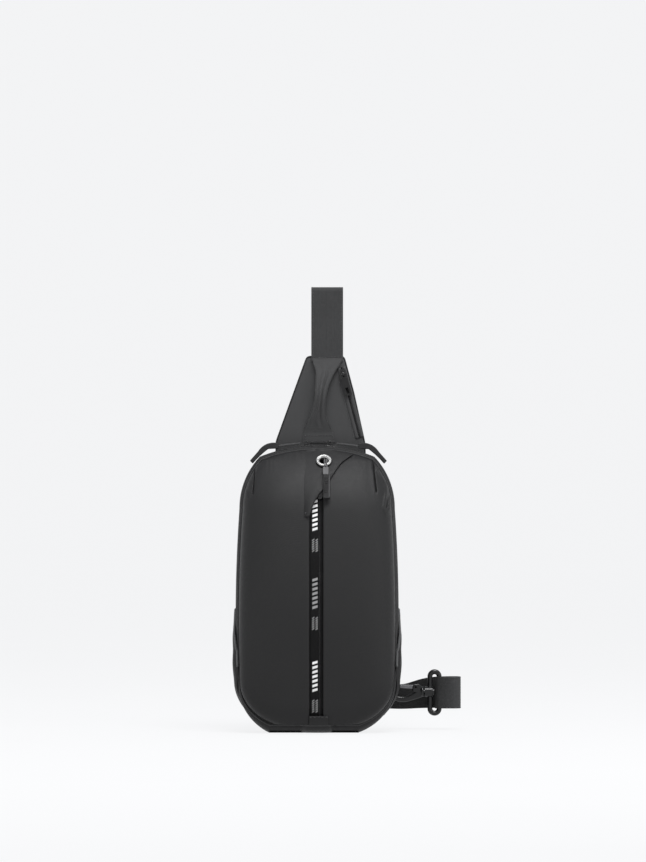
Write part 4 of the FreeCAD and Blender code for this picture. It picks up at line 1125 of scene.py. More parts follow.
def lining():
    """The pale inner cloth, a little inside the shell, and its flat pocket."""
    flat, t = disc_grid(SEAM[::3] * 0.90 + np.array([0.0, 17.0]), 24, 0.8)
    y = panel_y(flat[:, :, 0], flat[:, :, 1]) + LINING_DEPTH
    y = y + (LINING_MEET_Y - y) * np.clip((t - 0.86) / 0.14, 0, 1)[:, None] ** 1.5
    y = y + 0.8 * np.sin(flat[:, :, 0] / 7.0) * np.sin(flat[:, :, 1] / 12.0)
    front = disc_object("lining_front", lay(flat[:, :, 0], y, flat[:, :, 1]), LINING)
    back = disc_object("lining_back", lay(flat[:, :, 0], LINING_BACK_Y, flat[:, :, 1]), LINING)
    both = join("lining_bag", [front, back])
    fix_normals(both)
    place(both, "root", "lining_cloth", "lining")
    low, high = node_box("inner_pocket")
    x, z = np.meshgrid(np.linspace(low[0], high[0], 25), np.linspace(low[2], high[2], 25))
    slack = 0.5 * np.sin((x - low[0]) / SLIP_SIZE[0] * math.pi) * (z - low[2]) / SLIP_SIZE[1]
    cloth_sheet("slip_pocket", lay(x, SLIP_Y - slack, z), LINING, fix_front, "lining_cloth",
                ["inner_pocket"], 0.6, bevel=0.2)


POCKET_LOW, POCKET_HIGH = node_box("side_pocket_right")
POCKET_REAR_Y = 34.0
POCKET_BELLY = 3.6
POCKET_FREE_Z = 72.0
# The mouth's line as Z and Y, from its top down
POCKET_MOUTH = ((146.0, 22.0), (136.0, 13.0), (112.0, -2.5), (84.0, -11.5), (72.0, -12.0), (50.0, -9.0),
                (20.0, 4.0))


def wall_x(y, z):
    """Half-width of the side wall at a depth and height, with its rolled front edge."""
    inner, outer = right_edge(SEAM, z), right_edge(OUTLINE, z)
    t = np.clip((y - seam_y(z)) / 9.0, 0, 1)
    return inner + (outer - inner) * np.sqrt(1 - (1 - t) ** 2)


def side_pocket(name, side, node):
    """A bellied patch on the side wall, with its mouth along the slanted front edge."""
    heights = np.linspace(POCKET_HIGH[2], POCKET_LOW[2], 57)
    mouth = curve_through(POCKET_MOUTH, 80)
    front = np.interp(heights, mouth[::-1, 0], mouth[::-1, 1])
    rows = []
    for z, y_front in zip(heights, front):
        t = np.linspace(0, 1, 25)
        y = y_front + (POCKET_REAR_Y - y_front) * t
        up = (z - POCKET_LOW[2]) / (POCKET_HIGH[2] - POCKET_LOW[2])
        belly = math.sin(math.pi * min(1.0, up * 1.02)) ** 0.6 * POCKET_BELLY
        profile = np.sin(math.pi * (0.13 + 0.87 * t))
        sewn = np.clip((POCKET_FREE_Z - z) / 30.0, 0, 1)
        profile = profile * (1 - sewn * (1 - np.sin(t * math.pi) ** 0.5))
        x = wall_x(y, z) + 0.9 + belly * profile
        x = x + 0.35 * np.sin(z / 6.0 + y / 9.0) * profile
        rows.append(lay(side * x, y, z))
    points = np.array(rows)
    cloth_sheet(name, points, GUSSET_CLOTH, orient_outward, "coated_cloth", [node], 0.9, bevel=0.25)
    mouth_line = points[:31, 0]
    outward = (side * 1.0, -0.6, 0.0)
    binding = sweep(name + "_binding", mouth_line, strap_section(3.4, 1.5, 7, 0.3), outward, BINDING)
    line = stitches(name + "_stitches", points[1:30, 3], (side * 1.0, -0.3, 0.0))
    return binding, line


def side_pockets():
    """Both pockets, then all their bindings and all their stitches as one piece each."""
    made = [side_pocket(name + "_side_pocket", side, "side_pocket_" + name)
            for name, side in (("left", -1), ("right", 1))]
    bindings, rows = zip(*made)
    place(join("pocket_mouth_bindings", bindings), "root", "binding_tape", "side_pocket_bindings")
    place(join("pocket_stitching", rows), "root", "binding_tape")


PAD_LOW_Z, PAD_HIGH_Z = 66.0, 306.0
PAD_CHANNELS = (126.0, 186.0, 246.0)
PAD_CORNER = 26.0
PAD_EDGE = 7.0
PAD_SWELL = 3.6
PAD_HEIGHTS = (PAD_LOW_Z, 90.0, 240.0, PAD_HIGH_Z)
PAD_HALF_WIDTHS = (72.0, 80.0, 78.0, 62.0)


def back():
    """A flat back cloth and, on it, a quilted spacer-mesh pad with sewn channels."""
    flat, t = disc_grid(OUTLINE[::2] * 0.985 + np.array([0.0, 2.5]), 30, 0.9)
    y = REAR_SEAM_Y + 1.6 - 1.2 * t[:, None] ** 12 + 0 * flat[:, :, 0]
    y = y + 0.25 * np.sin(flat[:, :, 0] / 13.0) * np.sin(flat[:, :, 1] / 19.0)
    cloth = disc_object("back_cloth", lay(flat[:, :, 0], y, flat[:, :, 1]), BASE_CLOTH)
    fix_normals(cloth)
    thicken(cloth, 1.0, offset=0.0)
    place(cloth, "root", "air_mesh", "back_panel")
    x, z = np.meshgrid(np.linspace(-1, 1, 121), np.linspace(PAD_LOW_Z, PAD_HIGH_Z, 161))
    half = np.interp(z, PAD_HEIGHTS, PAD_HALF_WIDTHS)
    top = np.clip((z - (PAD_HIGH_Z - PAD_CORNER)) / PAD_CORNER, 0, 1)
    low = np.clip(((PAD_LOW_Z + PAD_CORNER) - z) / PAD_CORNER, 0, 1)
    half = half - PAD_CORNER * (1 - np.sqrt(1 - np.maximum(top, low) ** 2))
    px = x * half
    edge = np.minimum(1.0, (1 - np.abs(x)) * half / PAD_EDGE)
    edge = np.minimum(edge, np.minimum((z - PAD_LOW_Z) / PAD_EDGE, (PAD_HIGH_Z - z) / PAD_EDGE))
    swell = PAD_SWELL * np.sqrt(np.clip(1 - (1 - np.clip(edge, 0, 1)) ** 2, 0, 1))
    swell = swell - 2.6 * bell(px, 4.0)
    for channel in PAD_CHANNELS:
        swell = swell - 2.4 * bell(z - channel - 0.0022 * px ** 2, 3.0) * (swell > 0.5)
    y = REAR_SEAM_Y + 1.9 + np.maximum(swell, 0.0)
    pad = grid_object("back_mesh_pad", lay(px, y, z), AIR_MESH)
    fix_front(pad, 1)
    thicken(pad, 1.4)
    place(pad, "root", "air_mesh", "back_foam_pad")
    rim = lay(px, y, z)[::3]
    loop = resampled(np.vstack([rim[:, 0], rim[::-1, -1]]), 220) + np.array([0, 0.6, 0])
    binding = sweep("back_pad_binding", loop, round_section(1.5, 8), (0, 1, 0), BINDING, closed=True)
    place(binding, "root", "binding_tape")


# ---------------------------------------------------------------- yoke, its zip and the grab handle

YOKE_FACE_Y = node_box("yoke_front_panel")[0][1]
YOKE_BACK_Y = node_box("yoke_back_panel")[1][1]
YOKE_POINTS = ((-49.0, 318.0), (57.5, 318.0), (57.0, 343.0), (43.5, 404.0), (32.0, 447.0), (-12.0, 447.0),
               (-49.0, 345.0))


def yoke_shape():
    """The yoke's outline with small rounded corners."""
    return softened_line(resampled(np.array(YOKE_POINTS), 220))


def yoke_swell(x, z):
    """How far the yoke's face stands forward: padded, dished beside the handle and flat at the zip."""
    base = 1.2 * np.sin((x - 4.0) / 26.0 + 0.4) * np.sin((z - 330.0) / 40.0)
    dish = 1.3 * bell(np.abs(x + 12.0 - (z - 395.0) * 0.06), 7.0) * np.clip((z - 352.0) / 30.0, 0, 1)
    return base * 0.4 - dish


def yoke():
    """A padded triangle: front and back faces that meet in a bound edge."""
    shape = yoke_shape()
    flat, t = disc_grid(shape, 34, 0.85)
    round_off = np.sqrt(np.clip(1 - np.clip((t - 0.88) / 0.12, 0, 1) ** 2, 0, 1))[:, None]
    x, z = flat[:, :, 0], flat[:, :, 1]
    middle_y = (YOKE_FACE_Y + YOKE_BACK_Y) / 2
    front_y = middle_y - 0.3 - (2.3 + 0.5 * yoke_swell(x, z)) * round_off
    front = disc_object("yoke_front_cloth", lay(x, front_y, z), YOKE_CLOTH)
    fix_front(front)
    place(front, "root", "yoke_cloth", "yoke_front_panel", "yoke_foam")
    back_y = middle_y + 0.3 + 2.2 * round_off + 0 * x
    rear = disc_object("yoke_back_cloth", lay(x, back_y, z), AIR_MESH)
    fix_normals(rear)
    place(rear, "root", "air_mesh", "yoke_back_panel")
    path = lay(shape[:, 0], middle_y, shape[:, 1])
    section = [(c * 0.9, s * 1.9) for c, s in round_section(1.0, 12)]
    edge = sweep("yoke_binding", path, section, (0, 1, 0), GUSSET_CLOTH, closed=True)
    place(edge, "root", "yoke_cloth")


YOKE_ZIP_TOP = (29.0, 434.0)
YOKE_ZIP_END = (51.0, 350.0)


def yoke_zip():
    """The hidden zip down the yoke's right edge: tape, teeth and two turned welts."""
    face = YOKE_FACE_Y - 0.25
    top, end = (np.array([x, 0.0, z]) for x, z in (YOKE_ZIP_TOP, YOKE_ZIP_END))
    along = (end - top) / np.linalg.norm(end - top)
    across = np.array([-along[2], 0.0, along[0]])
    steps = np.linspace(0, 1, 60)[:, None]
    path = top + (end - top) * steps
    flat = path + np.array([0, face, 0])
    tape = sweep("yoke_tape", flat, strap_section(8.4, 0.5, 9, 0.15), FORWARD, ZIP_TAPE)
    place(tape, "root", "zip_tape", "yoke_zip_tape")
    coil = zip_coil("yoke_teeth", path + np.array([0, face - 0.3, 0]), FORWARD, 0.75, 1.4)
    place(coil, "root", "zip_coil", "yoke_zip_coil")
    welts = []
    for sign in (-1, 1):
        side = path + across * sign * 3.1 + np.array([0, face - 0.35, 0])
        section = [(c * 2.1, s * 0.8) for c, s in round_section(1.0, 12)]
        welts.append(sweep("welt", side, section, FORWARD, YOKE_CLOTH))
    rows = path[2:-2] - across * 6.6 + np.array([0, face - 0.05, 0])
    welts.append(stitches("row", rows, FORWARD))
    place(join("yoke_zip_welts", welts), "root", "yoke_cloth")


# The handle's rows as Z and its left and right X, from the top down
HANDLE_ROWS = ((447.5, -7.0, 31.0), (438.0, -4.0, 27.0), (427.0, -1.2, 20.0), (414.0, -1.6, 14.0),
               (400.0, -2.6, 10.2), (386.0, -5.2, 9.2), (374.0, -9.4, 10.2), (364.0, -14.0, 14.5),
               (355.0, -16.6, 19.5), (344.0, -17.0, 22.0))
HANDLE_TOP_Z = HANDLE_ROWS[0][0]
HANDLE_SEWN_Z = 355.0


def handle():
    """The grab handle: full width at the top, gathered to a band that bows out, and a sewn patch."""
    rows = curve_through(HANDLE_ROWS, 110)
    columns = np.linspace(-1, 1, 41)
    points = []
    for z, left, right in rows:
        t = (z - HANDLE_SEWN_Z) / (HANDLE_TOP_Z - HANDLE_SEWN_Z)
        bow = 9.4 * math.sin(math.pi * min(max(t, 0.0), 1.0)) ** 1.4
        half = (right - left) / 2
        gather = min(max(1 - (half - 6.5) / 9.0, 0.0), 1.0)
        x = (left + right) / 2 + half * columns
        roll = 1.7 * gather * np.abs(columns) ** 4
        pleat = 2.2 * gather * bell(columns - 0.28, 0.16) + 1.2 * gather * bell(columns + 0.45, 0.16)
        y = YOKE_FACE_Y - 1.4 - bow + roll + pleat + 0.25 * np.sin(z / 5.0) * gather
        points.append(lay(x, y, z))
    points = np.array(points)
    cloth_sheet("handle_band", points, STRAP_CLOTH, fix_front, "strap_cloth",
                ["grab_handle", "handle_patch"], 1.3, bevel=0.35, levels=1)
    edges = []
    for column in (0, -1):
        line = points[4:92, column] + np.array([0.0, 0.5, 0.0])
        edges.append(sweep("piped", line, round_section(0.75, 8), FORWARD, PIPING))
    place(join("handle_piping", edges), "root", "piping_cloth")
    box_stitch = np.array([(-14.0, 352.5), (19.0, 352.5), (19.5, 345.6), (-14.5, 345.6), (-14.0, 352.5)])
    line = resampled(box_stitch, 70, closed=False)
    line = lay(line[:, 0], YOKE_FACE_Y - 1.5, line[:, 1])
    place(stitches("handle_patch_stitches", line, FORWARD), "root", "binding_tape")


# ---------------------------------------------------------------- strap, end loop and ring tabs

STRAP_LOW, STRAP_HIGH = node_box("strap_upper_run")
REAR_LOW_BOX, REAR_HIGH_BOX = node_box("strap_rear_run")
TURN_LOW, TURN_HIGH = node_box("strap_end_turn")
STRAP_W = STRAP_HIGH[0] - STRAP_LOW[0]
STRAP_X = (STRAP_HIGH[0] + STRAP_LOW[0]) / 2
STRAP_T = REAR_HIGH_BOX[1] - REAR_LOW_BOX[1]
RUN_Z = (TURN_LOW[2] + TURN_HIGH[2]) / 2
HOOK_CENTRE = joint_point("hook_swivel")
RIB_PITCH = 3.0
SEWN_Z = 441.0
DROOP = 5.5
PATH_STEP = 1.2


def webbing_section():
    """Webbing with ribs along its length and firm round edges."""
    section = strap_section(STRAP_W, STRAP_T, 39, 0.4)
    ribs = [0.10 * math.cos(x * 2 * math.pi / RIB_PITCH) if abs(y) > 0.5 else 0.0 for x, y in section]
    return [(x, y + rib * (1 if y > 0 else -1)) for (x, y), rib in zip(section, ribs)]


def main_strap():
    """The strap up from the yoke, over a flat fold and down behind the bag to its diagonal turn."""
    front_y = STRAP_LOW[1] + STRAP_T / 2
    rear_y = REAR_LOW_BOX[1] + STRAP_T / 2
    radius = (rear_y - front_y) / 2
    fold_z = STRAP_HIGH[2] - radius - STRAP_T / 2
    up = [(front_y - 0.25 * math.sin((z - SEWN_Z) / 80 * math.pi), z)
          for z in np.linspace(SEWN_Z, fold_z, 60)]
    over = [(front_y + radius - radius * math.cos(a), fold_z + radius * math.sin(a))
            for a in np.linspace(0, math.pi, 25)[1:-1]]
    down = [(rear_y + 0.35 * math.sin(z / 37.0), z)
            for z in np.linspace(fold_z, RUN_Z + STRAP_W / 2 - 2, 220)]
    path = np.array([(STRAP_X, y, z) for y, z in up + over + down])
    up_vector = np.gradient(path, axis=0)
    normal = lay(0.0, -up_vector[:, 2], up_vector[:, 1])
    strap = sweep("main_strap_webbing", path, webbing_section(), normal, WEBBING)
    place(strap, "root", "webbing", "strap_upper_run", "strap_rear_run")
    lines = []
    for x in (-STRAP_W / 2 + 2.0, STRAP_W / 2 - 2.0):
        row = lay(STRAP_X + x, front_y - STRAP_T / 2 - 0.15, np.linspace(448.0, fold_z - 2, 60))
        lines.append(stitches("row", row, FORWARD))
    xs = np.linspace(-17, 17, 30)
    across = lay(STRAP_X + xs, front_y - STRAP_T / 2 - 0.25, 446.0 + 0.6 * np.sin(xs / 5.0))
    lines.append(stitches("row", across, FORWARD))
    place(join("strap_stitching", lines), "root", "webbing")


def diagonal_fold():
    """The folded corner where the strap turns from down to sideways."""
    left, right = STRAP_LOW[0], STRAP_HIGH[0]
    low, top = TURN_LOW[2], TURN_HIGH[2]
    y = REAR_HIGH_BOX[1] + 0.1
    count = 20
    rows = []
    for k in range(count + 1):
        t = k / count
        corner_low = np.array([left + (right - left) * t, 0.0, top + (low - top) * t])
        corner_high = np.array([left + (right - left) * t, 0.0, top + 2.0])
        rows.append([corner_high + (corner_low - corner_high) * s for s in np.linspace(0, 1, 9)])
    points = np.array(rows)
    points[:, :, 1] = y - STRAP_T / 2 + 0.5 * np.sin(np.linspace(0, math.pi, 9))
    obj = grid_object("strap_corner_fold", points, WEBBING)
    fix_normals(obj)
    thicken(obj, STRAP_T, offset=0.0, bevel=0.3)
    return obj


def lower_strap():
    """The strap's lower run: out past the bag, round its end and back to the hook's ring."""
    mid = HOOK_CENTRE[1]
    near = node_box("strap_end_loop")[0][1] + STRAP_T / 2
    far = TURN_HIGH[1] - STRAP_T / 2
    start_y = REAR_HIGH_BOX[1] + STRAP_T / 2 + 0.2
    reach = TURN_HIGH[0] - STRAP_T / 2
    bend = (far - near) / 2
    out = [(STRAP_X + x, y) for x, y in ((6.0, start_y), (19.0, start_y), (30.0, start_y + 5.0),
                                         (44.0, far - 2.2), (62.0, far), (90.0, far - 0.6), (120.0, far))]
    arc = [(reach - bend + bend * math.sin(a), (near + far) / 2 + bend * math.cos(a))
           for a in np.linspace(0.0, math.pi, 7)]
    bar_x = node_box("hook_strap_ring")[1][0] - 3.0
    wrap = 3.3 + STRAP_T / 2
    home = [(bar_x + 6.0, near)]
    around = [(bar_x - wrap * math.sin(a), mid - wrap * math.cos(a)) for a in np.linspace(0.0, math.pi, 6)]
    tail = [(bar_x + 7.0, mid - 1.4), (bar_x + 12.0, near + STRAP_T + 0.25)]
    plan = curve_through(out + arc + home + around + tail, 400)
    plan = resampled(plan, int(line_length(plan) / PATH_STEP), closed=False)
    path = lay(plan[:, 0], plan[:, 1], RUN_Z)
    pinch = bell(plan[:, 0] - 100.0, 26.0) * (plan[:, 1] > mid + 4)
    path[:, 2] -= DROOP * pinch
    tangent = np.gradient(path, axis=0)
    normal = lay(tangent[:, 1], -tangent[:, 0], 0.0)
    base = np.array(webbing_section())
    sections = []
    for p in pinch:
        squeeze = 1 - 0.22 * p
        wave = 0.9 * p * np.cos(base[:, 0] / STRAP_W * 2 * math.pi)
        sections.append(np.stack([base[:, 0] * squeeze, base[:, 1] + wave], axis=1))
    strap = sweep("lower_strap_webbing", path, np.array(sections), normal, WEBBING_END)
    both = join("lower_strap", [strap, diagonal_fold()])
    place(both, "root", "webbing", "strap_lower_run", "strap_end_turn", "strap_end_loop")


TAB_W = 12.6
TAB_REACH = 2.2


def ring_tabs():
    """Short webbing tabs: the right one twists to face its ring, the left one lies flat."""
    bar = joint_point("right_ring_swing")
    lead = [(50.0, 45.0, 0.0), (56.0, 47.0, 20.0), (62.0, 51.5, 50.0), (68.0, 55.6, 80.0), (73.0, 56.9, 90.0)]
    lead = curve_through(lead, 40)
    path, normals = [], []
    for x, y, angle in lead:
        path.append((x, y, bar[2]))
        normals.append((0.0, math.cos(math.radians(angle)), math.sin(math.radians(angle))))
    tab = sweep("lead", np.array(path), strap_section(TAB_W, 2.0, 13, 0.35), np.array(normals), WEBBING)
    hoop = hoop_round(bar, (0, 1, 0))
    place(join("right_ring_tab", [tab, hoop]), "root", "webbing", "d_ring_tab_right")
    bar = joint_point("left_ring_swing")
    lead = [(x, y, bar[2]) for x, y in ((-45.0, 44.9), (-56.0, 45.0), (-62.0, 45.6), (-66.0, 48.2))]
    lead = curve_through(lead, 30)
    tab = sweep("lead", lead, strap_section(TAB_W, 1.9, 13, 0.35), (0, 1, 0.0), WEBBING)
    hoop = hoop_round(bar, (0, 0, 1))
    place(join("left_ring_tab", [tab, hoop]), "root", "webbing", "d_ring_tab_left")


def hoop_round(centre, axis):
    """A band of webbing all round a ring's bar, which runs along Y or Z."""
    first = np.cross(np.array(axis, float), (1.0, 0.0, 0.0))
    second = np.cross(axis, first)
    normal = np.array([first * math.cos(a) + second * math.sin(a) for a in turns(28)])
    ring = np.array(centre) + (TAB_REACH + 0.45) * normal
    return sweep("hoop", ring, strap_section(TAB_W, 0.9, 13, 0.2), normal, WEBBING, closed=True)


# ---------------------------------------------------------------- pulls, hardware and details


def dart_seams():
    """Near-black lines down the darts: the seams, with painted shade in their folds."""
    lines = []
    for start, end in (LEFT_DART, RIGHT_DART):
        t = np.linspace(0, 1, 40)[:, None]
        x, z = (np.array(start) + (np.array(end) - np.array(start)) * t).T
        y = panel_y(x, z) + panel_relief(x, z) - 0.75
        # The near-black tape colour here is painted shade along the dart's fold
        lines.append(sweep("seam", lay(x, y, z), round_section(0.62, 6, 0.6), FORWARD, PRINTED_TAPE))
    place(join("dart_seams", lines), "root", "coated_cloth")


def pull_strap(side):
    """A folded cloth strap from the pull's wire loop to the moulded tab, sewn along both edges."""
    node = "main_pull_strap_" + side
    low, high = node_box(node)
    near_x, far_x = (high[0], low[0]) if side == "left" else (low[0], high[0])
    level = joint_point(side + "_pull_swing")[2]
    t = np.linspace(0, 1, 60)
    x = near_x + (far_x - near_x) * t
    path = lay(x, ZIP_Y, level - 0.15 - 2.95 * t ** 1.3)
    ends = np.clip(np.minimum(t, 1 - t) * abs(far_x - near_x) / 1.3, 0.0, 1.0)
    full = np.sqrt(1 - (1 - ends) ** 2) * 0.85 + 0.15
    base = np.array(strap_section(5.4, 2.5, 11, 0.5))
    sections = [np.stack([base[:, 0], base[:, 1] * f], axis=1) for f in full]
    pieces = [sweep("strip", path, np.array(sections), (0, 0, 1), STRAP_CLOTH)]
    for y in (-1.9, 1.9):
        row = path[5:-5] + np.array([0.0, y, 1.3])
        pieces.append(stitches("row", row, (0, 0, 1), 1.9, 1.4, 0.35))
    for k in (9, 12):
        row = np.array([path[k] + np.array([0.0, y, 1.3]) for y in np.linspace(-2.2, 2.2, 9)])
        pieces.append(stitches("row", row, (0, 0, 1), 1.1, 0.9, 0.35))
    place(join(side + "_pull_strap", pieces), side + "_pull", "webbing", node)


PULL_TOP = (-13.5, 314.5)
PULL_LOW = (-33.0, 278.0)
FERRULE_LENGTH = 9.6


def front_cord():
    """The front pull's cord: two strands that come out of the eyelet and run down into the ferrule."""
    low, high = node_box("front_pull_cord")
    pivot = np.array(joint_point("front_pull_swing"))
    outward = np.array(EYELET_AXIS)
    down = np.array([0.0, -outward[2], outward[1]])
    steps = ((-0.5, -2.0), (0.9, 2.2), (4.6, 4.0))
    route = [pivot + down * slope + outward * rise for slope, rise in steps]
    route.append(np.array([pivot[0], *PULL_TOP]))
    strands = []
    for x in (low[0] + 0.8, high[0] - 0.8):
        line = curve_through([tuple(p) for p in route], 100)
        line[:, 0] = x
        ripple = 1 + 0.09 * np.sin(np.arange(100) * 0.75)
        sections = np.array([np.array(round_section(0.84, 10)) * r for r in ripple])
        strands.append(sweep("strand", line, sections, (1, 0, 0), CORD_CLOTH))
    place(join("front_pull_strands", strands), "pocket_pull", "cord_cloth", "front_pull_cord")


def puller_details():
    """What a bare puller lacks: a ribbed face and a lighter strip along the front tab's edge, a painted
    highlight, on its own body.
    """
    low, high = node_box("front_pull_tab")
    top = np.array([(low[0] + high[0]) / 2, *PULL_TOP])
    down = unit(np.array([0.0, PULL_LOW[0] - PULL_TOP[0], PULL_LOW[1] - PULL_TOP[1]]))
    out = np.array([0.0, down[2], -down[1]])
    start = top + down * FERRULE_LENGTH
    ribs = []
    for k in range(9):
        centre = start + down * (5.0 + 2.4 * k) + out * 1.9
        line = centre + lay(np.linspace(-2.6, 1.4, 6), 0.0, 0.0)
        ribs.append(sweep("rib", line, round_section(0.5, 8), out, DARK_RUBBER))
    # A painted highlight: a lighter rod along the tab's right edge
    corner = start + out * 1.75 + np.array([3.1, 0.0, 0.0])
    edge = np.array([corner + down * d for d in np.linspace(1.5, 30.0, 20)])
    ribs.append(sweep("edge", edge, round_section(0.55, 8), out, FERRULE))
    place(join("front_tab_ribs", ribs), "pocket_pull", "pull_rubber")


CAD_FINISHES = (
    (BRIGHT_METAL, ("eyelet_washer",)),
    (DARK_METAL, ("main_pull_link_left", "main_pull_link_right", "yoke_pull_link", "d_ring_right",
                  "d_ring_left")),
    (HOOK_METAL, ("swivel_stud",)),
    (GATE_METAL, ("gate_pin", "gate_spring")),
    (DARK_RUBBER, ("front_pull_tab",)),
    (FERRULE, ("front_pull_ferrule",)),
)
# Each cast or moulded piece: CAD node, body, slot, finish and how round its edges are
SOFTENED = (
    ("hook_strap_ring", "root", "dark_metal", HOOK_METAL, 0.6),
    ("main_pull_tab_left", "left_pull", "pull_rubber", PULL_RUBBER, 1.2),
    ("main_pull_tab_right", "right_pull", "pull_rubber", PULL_RUBBER, 1.2),
    ("main_slider_left", "left_slider", "dark_metal", DARK_METAL, 0.5),
    ("main_slider_right", "right_slider", "dark_metal", DARK_METAL, 0.5),
    ("front_slider", "pocket_slider", "dark_metal", DARK_METAL, 0.4),
    ("yoke_slider", "small_slider", "dark_metal", DARK_METAL, 0.4),
    ("yoke_pull_tab", "small_pull", "pull_rubber", DARK_RUBBER, 0.5),
    ("strap_adjuster", "adjuster", "frame_plastic", FRAME_PLASTIC, 0.7),
    ("hook_gate", "gate", "gate_metal", GATE_METAL, 0.6),
)


# The hook's middle line as X, Z and half-height, from its collar round to its nose
HOOK_LINE = ((127.2, 46.0, 5.9), (122.0, 43.6, 5.2), (115.0, 40.4, 4.2), (106.0, 37.4, 3.5),
             (98.0, 37.4, 3.3), (91.8, 40.0, 3.3), (89.4, 45.2, 3.3), (91.2, 50.2, 3.0), (95.0, 52.3, 2.6),
             (98.3, 52.4, 2.3))
# The collar's profile as X and radius
COLLAR = ((124.4, 5.6), (124.5, 6.0), (124.9, 6.35), (126.0, 6.4), (127.1, 6.35), (127.5, 6.0), (127.6, 5.6))
CHEEK = ((114.0, 46.0), (123.5, 44.0), (125.5, 52.5), (122.0, 55.0), (116.0, 55.0), (114.0, 52.5))


def hook_casting():
    """The snap hook as a round casting: a crescent that tapers to its nose, two cheeks and a collar."""
    half = (node_box("hook_gate")[1][1] - HOOK_CENTRE[1]) * 2
    line = curve_through(HOOK_LINE, 90)
    path = lay(line[:, 0], HOOK_CENTRE[1], line[:, 1])
    left = np.linspace(1, 0, len(line))
    close = np.sqrt(1 - (1 - np.clip(left * 30.0, 0, 1)) ** 2) * 0.9 + 0.1
    rounded = np.array(round_section(1.0, 20))
    rounded = np.sign(rounded) * np.abs(rounded) ** 0.85
    sections = np.array([rounded * np.array([w * c, half * c]) for w, c in zip(line[:, 2], close)])
    pieces = [sweep("crescent", path, sections, FORWARD, HOOK_METAL)]
    edge = softened_line(resampled(np.array(CHEEK), 48))
    middle = edge.mean(axis=0)
    for sign in (-1, 1):
        depths = np.array([1.95, 1.95, 2.3, 2.75, 3.0]) * sign
        scales = (0.90, 0.98, 1.0, 0.97, 0.88)
        cheek = np.array([[(p[0], HOOK_CENTRE[1] + d, p[1]) for p in middle + (edge - middle) * s]
                          for d, s in zip(depths, scales)])
        pieces.append(solids("cheek", [cheek], HOOK_METAL))
    _, hook_y, hook_z = HOOK_CENTRE
    collar = np.array([[(x, hook_y + r * math.cos(a), hook_z + r * math.sin(a)) for a in turns(40)]
                       for x, r in COLLAR])
    pieces.append(solids("collar", [collar], HOOK_METAL))
    place(join("hook_casting", pieces), "hook", "dark_metal", "hook_body")


def eyelet_rim():
    """The eyelet: a rolled rim with a fine groove round it, and the barrel inside."""
    axis = np.array(EYELET_AXIS)
    centre = np.array(joint_point("front_pull_swing")) - axis * 0.35
    first = np.array([1.0, 0.0, 0.0])
    second = np.cross(axis, first)
    spokes = np.array([first * math.cos(a) + second * math.sin(a) for a in turns(96)])
    across = np.linspace(-1.0, 1.0, 15)
    roll = 1.5 * np.sqrt(np.clip(1 - across ** 2, 0, 1)) - 0.30 * bell(across - 0.1, 0.22)
    section = [(1.85 * x, h) for x, h in zip(across, roll)] + [(1.6, -0.25), (-1.6, -0.25)]
    rim = sweep("rim", centre + spokes * 7.35, section, axis, BRIGHT_METAL, closed=True)
    wall = [(-0.35, 0.6), (0.35, 0.6), (0.35, -4.6), (-0.35, -4.6)]
    barrel = sweep("barrel", centre + spokes * 5.85, wall, axis, BRIGHT_METAL, closed=True)
    place(join("eyelet_rim", [rim, barrel]), "root", "bright_metal", "eyelet")


def soften(node, body, slot, material, radius):
    """A piece of hardware with its edges rounded as a casting's are."""
    source = frame["nodes"][node]
    bm = bmesh.new()
    bm.from_mesh(source.data)
    bmesh.ops.remove_doubles(bm, verts=bm.verts, dist=0.01 * MM)
    bmesh.ops.dissolve_limit(bm, angle_limit=math.radians(1.0), verts=bm.verts, edges=bm.edges)
    mesh = bpy.data.meshes.new(node + "_cast")
    bm.to_mesh(mesh)
    bm.free()
    mesh.materials.append(material)
    obj = linked(node + "_cast", mesh)
    round_edges(obj, radius, 3, 38)
    apply_modifiers(obj)
    obj.data.polygons.foreach_set("use_smooth", [True] * len(obj.data.polygons))
    weighted = obj.modifiers.new("shading", "WEIGHTED_NORMAL")
    weighted.keep_sharp = True
    apply_modifiers(obj)
    place(obj, body, slot, node)


def cad_finishes():
    """Round the castings and mouldings, and give the CAD pieces that stay as they are their finish."""
    for entry in SOFTENED:
        soften(*entry)
    for material, names in CAD_FINISHES:
        for name in names:
            node = frame["nodes"][name]
            slots = node.data.materials
            for k in range(len(slots)):
                slots[k] = material
            if not len(slots):
                slots.append(material)


# ---------------------------------------------------------------- stage

# The ground and its wall, in metres
STAGE_RADIUS = 11.0
STAGE_BEND = 3.0
STAGE_HEIGHT = 9.0
STAGE_GLOW = 0.845


def stage():
    """A pale round floor that curves up into a wall on every side."""
    rise = [(STAGE_RADIUS - STAGE_BEND + STAGE_BEND * math.sin(a), STAGE_BEND - STAGE_BEND * math.cos(a))
            for a in np.linspace(0.0, math.pi / 2, 16)]
    profile = [(0.5, 0.0), (3.0, 0.0)] + rise + [(STAGE_RADIUS, STAGE_HEIGHT)]
    rings = np.array([[(r * math.cos(a), r * math.sin(a), z) for a in turns(64)] for r, z in profile])
    nodes = Nodes("backdrop")
    paper = nodes.mix(nodes.noise(300.0), (0.078, 0.078, 0.079, 1.0), (0.084, 0.084, 0.085, 1.0))
    nodes.link("Base Color", paper)
    nodes.put({"Roughness": 1.0, "Specular IOR Level": 0.0})
    nodes.put({"Emission Color": (0.985, 0.99, 1.0, 1.0), "Emission Strength": STAGE_GLOW})
    floor = disc_object("floor", rings / MM, nodes.material)
    fix_normals(floor)
    if floor.data.polygons[-1].normal.z < 0:
        floor.data.flip_normals()


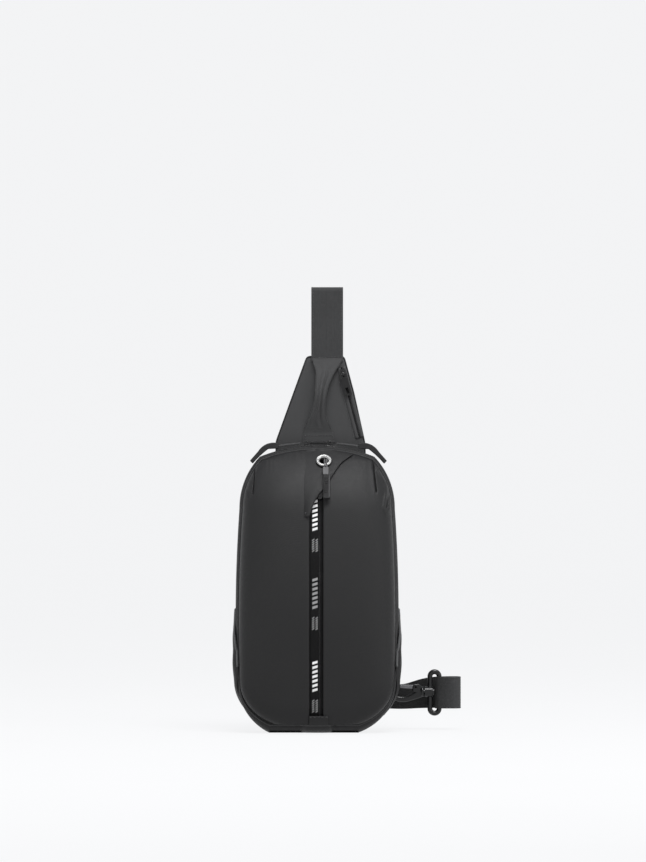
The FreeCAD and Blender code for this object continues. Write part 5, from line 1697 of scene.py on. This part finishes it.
def soft_light(name, place_at, target, size, power):
    """A rectangular area light that looks at a target, in metres and watts."""
    data = bpy.data.lights.new(name, "AREA")
    data.shape = "RECTANGLE"
    data.size, data.size_y = size
    data.energy = power
    lamp = linked(name, data)
    lamp.location = place_at
    lamp.rotation_euler = (Vector(target) - Vector(place_at)).to_track_quat("-Z", "Y").to_euler()


def lights():
    """A broad light above, one from the right, a weaker one from the left, and an even pale surround."""
    soft_light("key_top", (0.3, -1.1, 2.3), (0.0, 0.0, 0.25), (1.4, 0.9), 62.0)
    soft_light("fill_right", (2.2, -1.4, 0.9), (0.0, 0.0, 0.2), (1.0, 1.6), 12.0)
    soft_light("fill_left", (-2.2, -1.6, 0.8), (0.0, 0.0, 0.2), (1.0, 1.6), 3.0)
    world = bpy.data.worlds.new("surround")
    world.use_nodes = True
    world.node_tree.nodes["Background"].inputs["Color"].default_value = (0.93, 0.95, 1.0, 1.0)
    world.node_tree.nodes["Background"].inputs["Strength"].default_value = 0.62
    bpy.context.scene.world = world


# Where the camera stands and how much height it takes in, in metres; the sensor is in millimetres
CAMERA_REACH = 7.0
FRAME_HEIGHT = 1.0236
SENSOR = 36.0
AIM_X, AIM_Z = 0.007, 0.358


def camera():
    """Level and square to the front, from far off, as the object is seen."""
    data = bpy.data.cameras.new("camera")
    data.sensor_fit = "VERTICAL"
    data.sensor_height = SENSOR
    data.lens = SENSOR * CAMERA_REACH / FRAME_HEIGHT
    view = linked("camera", data)
    view.location = (AIM_X, -CAMERA_REACH, AIM_Z)
    view.rotation_euler = (math.pi / 2, 0.0, 0.0)
    bpy.context.scene.camera = view
    bpy.context.scene.view_settings.view_transform = "Standard"


camera()
lights()
stage()
front_half("front_left_cloth", -1, "front_panel_left")
front_half("front_right_cloth", 1, "front_panel_right")
walls()
base()
seams()
main_zip()
front_zip()
end_tab()
flap()
dart_seams()
lining()
side_pockets()
back()
yoke()
yoke_zip()
handle()
main_strap()
lower_strap()
ring_tabs()
pull_strap("left")
pull_strap("right")
front_cord()
eyelet_rim()
hook_casting()
puller_details()
cad_finishes()
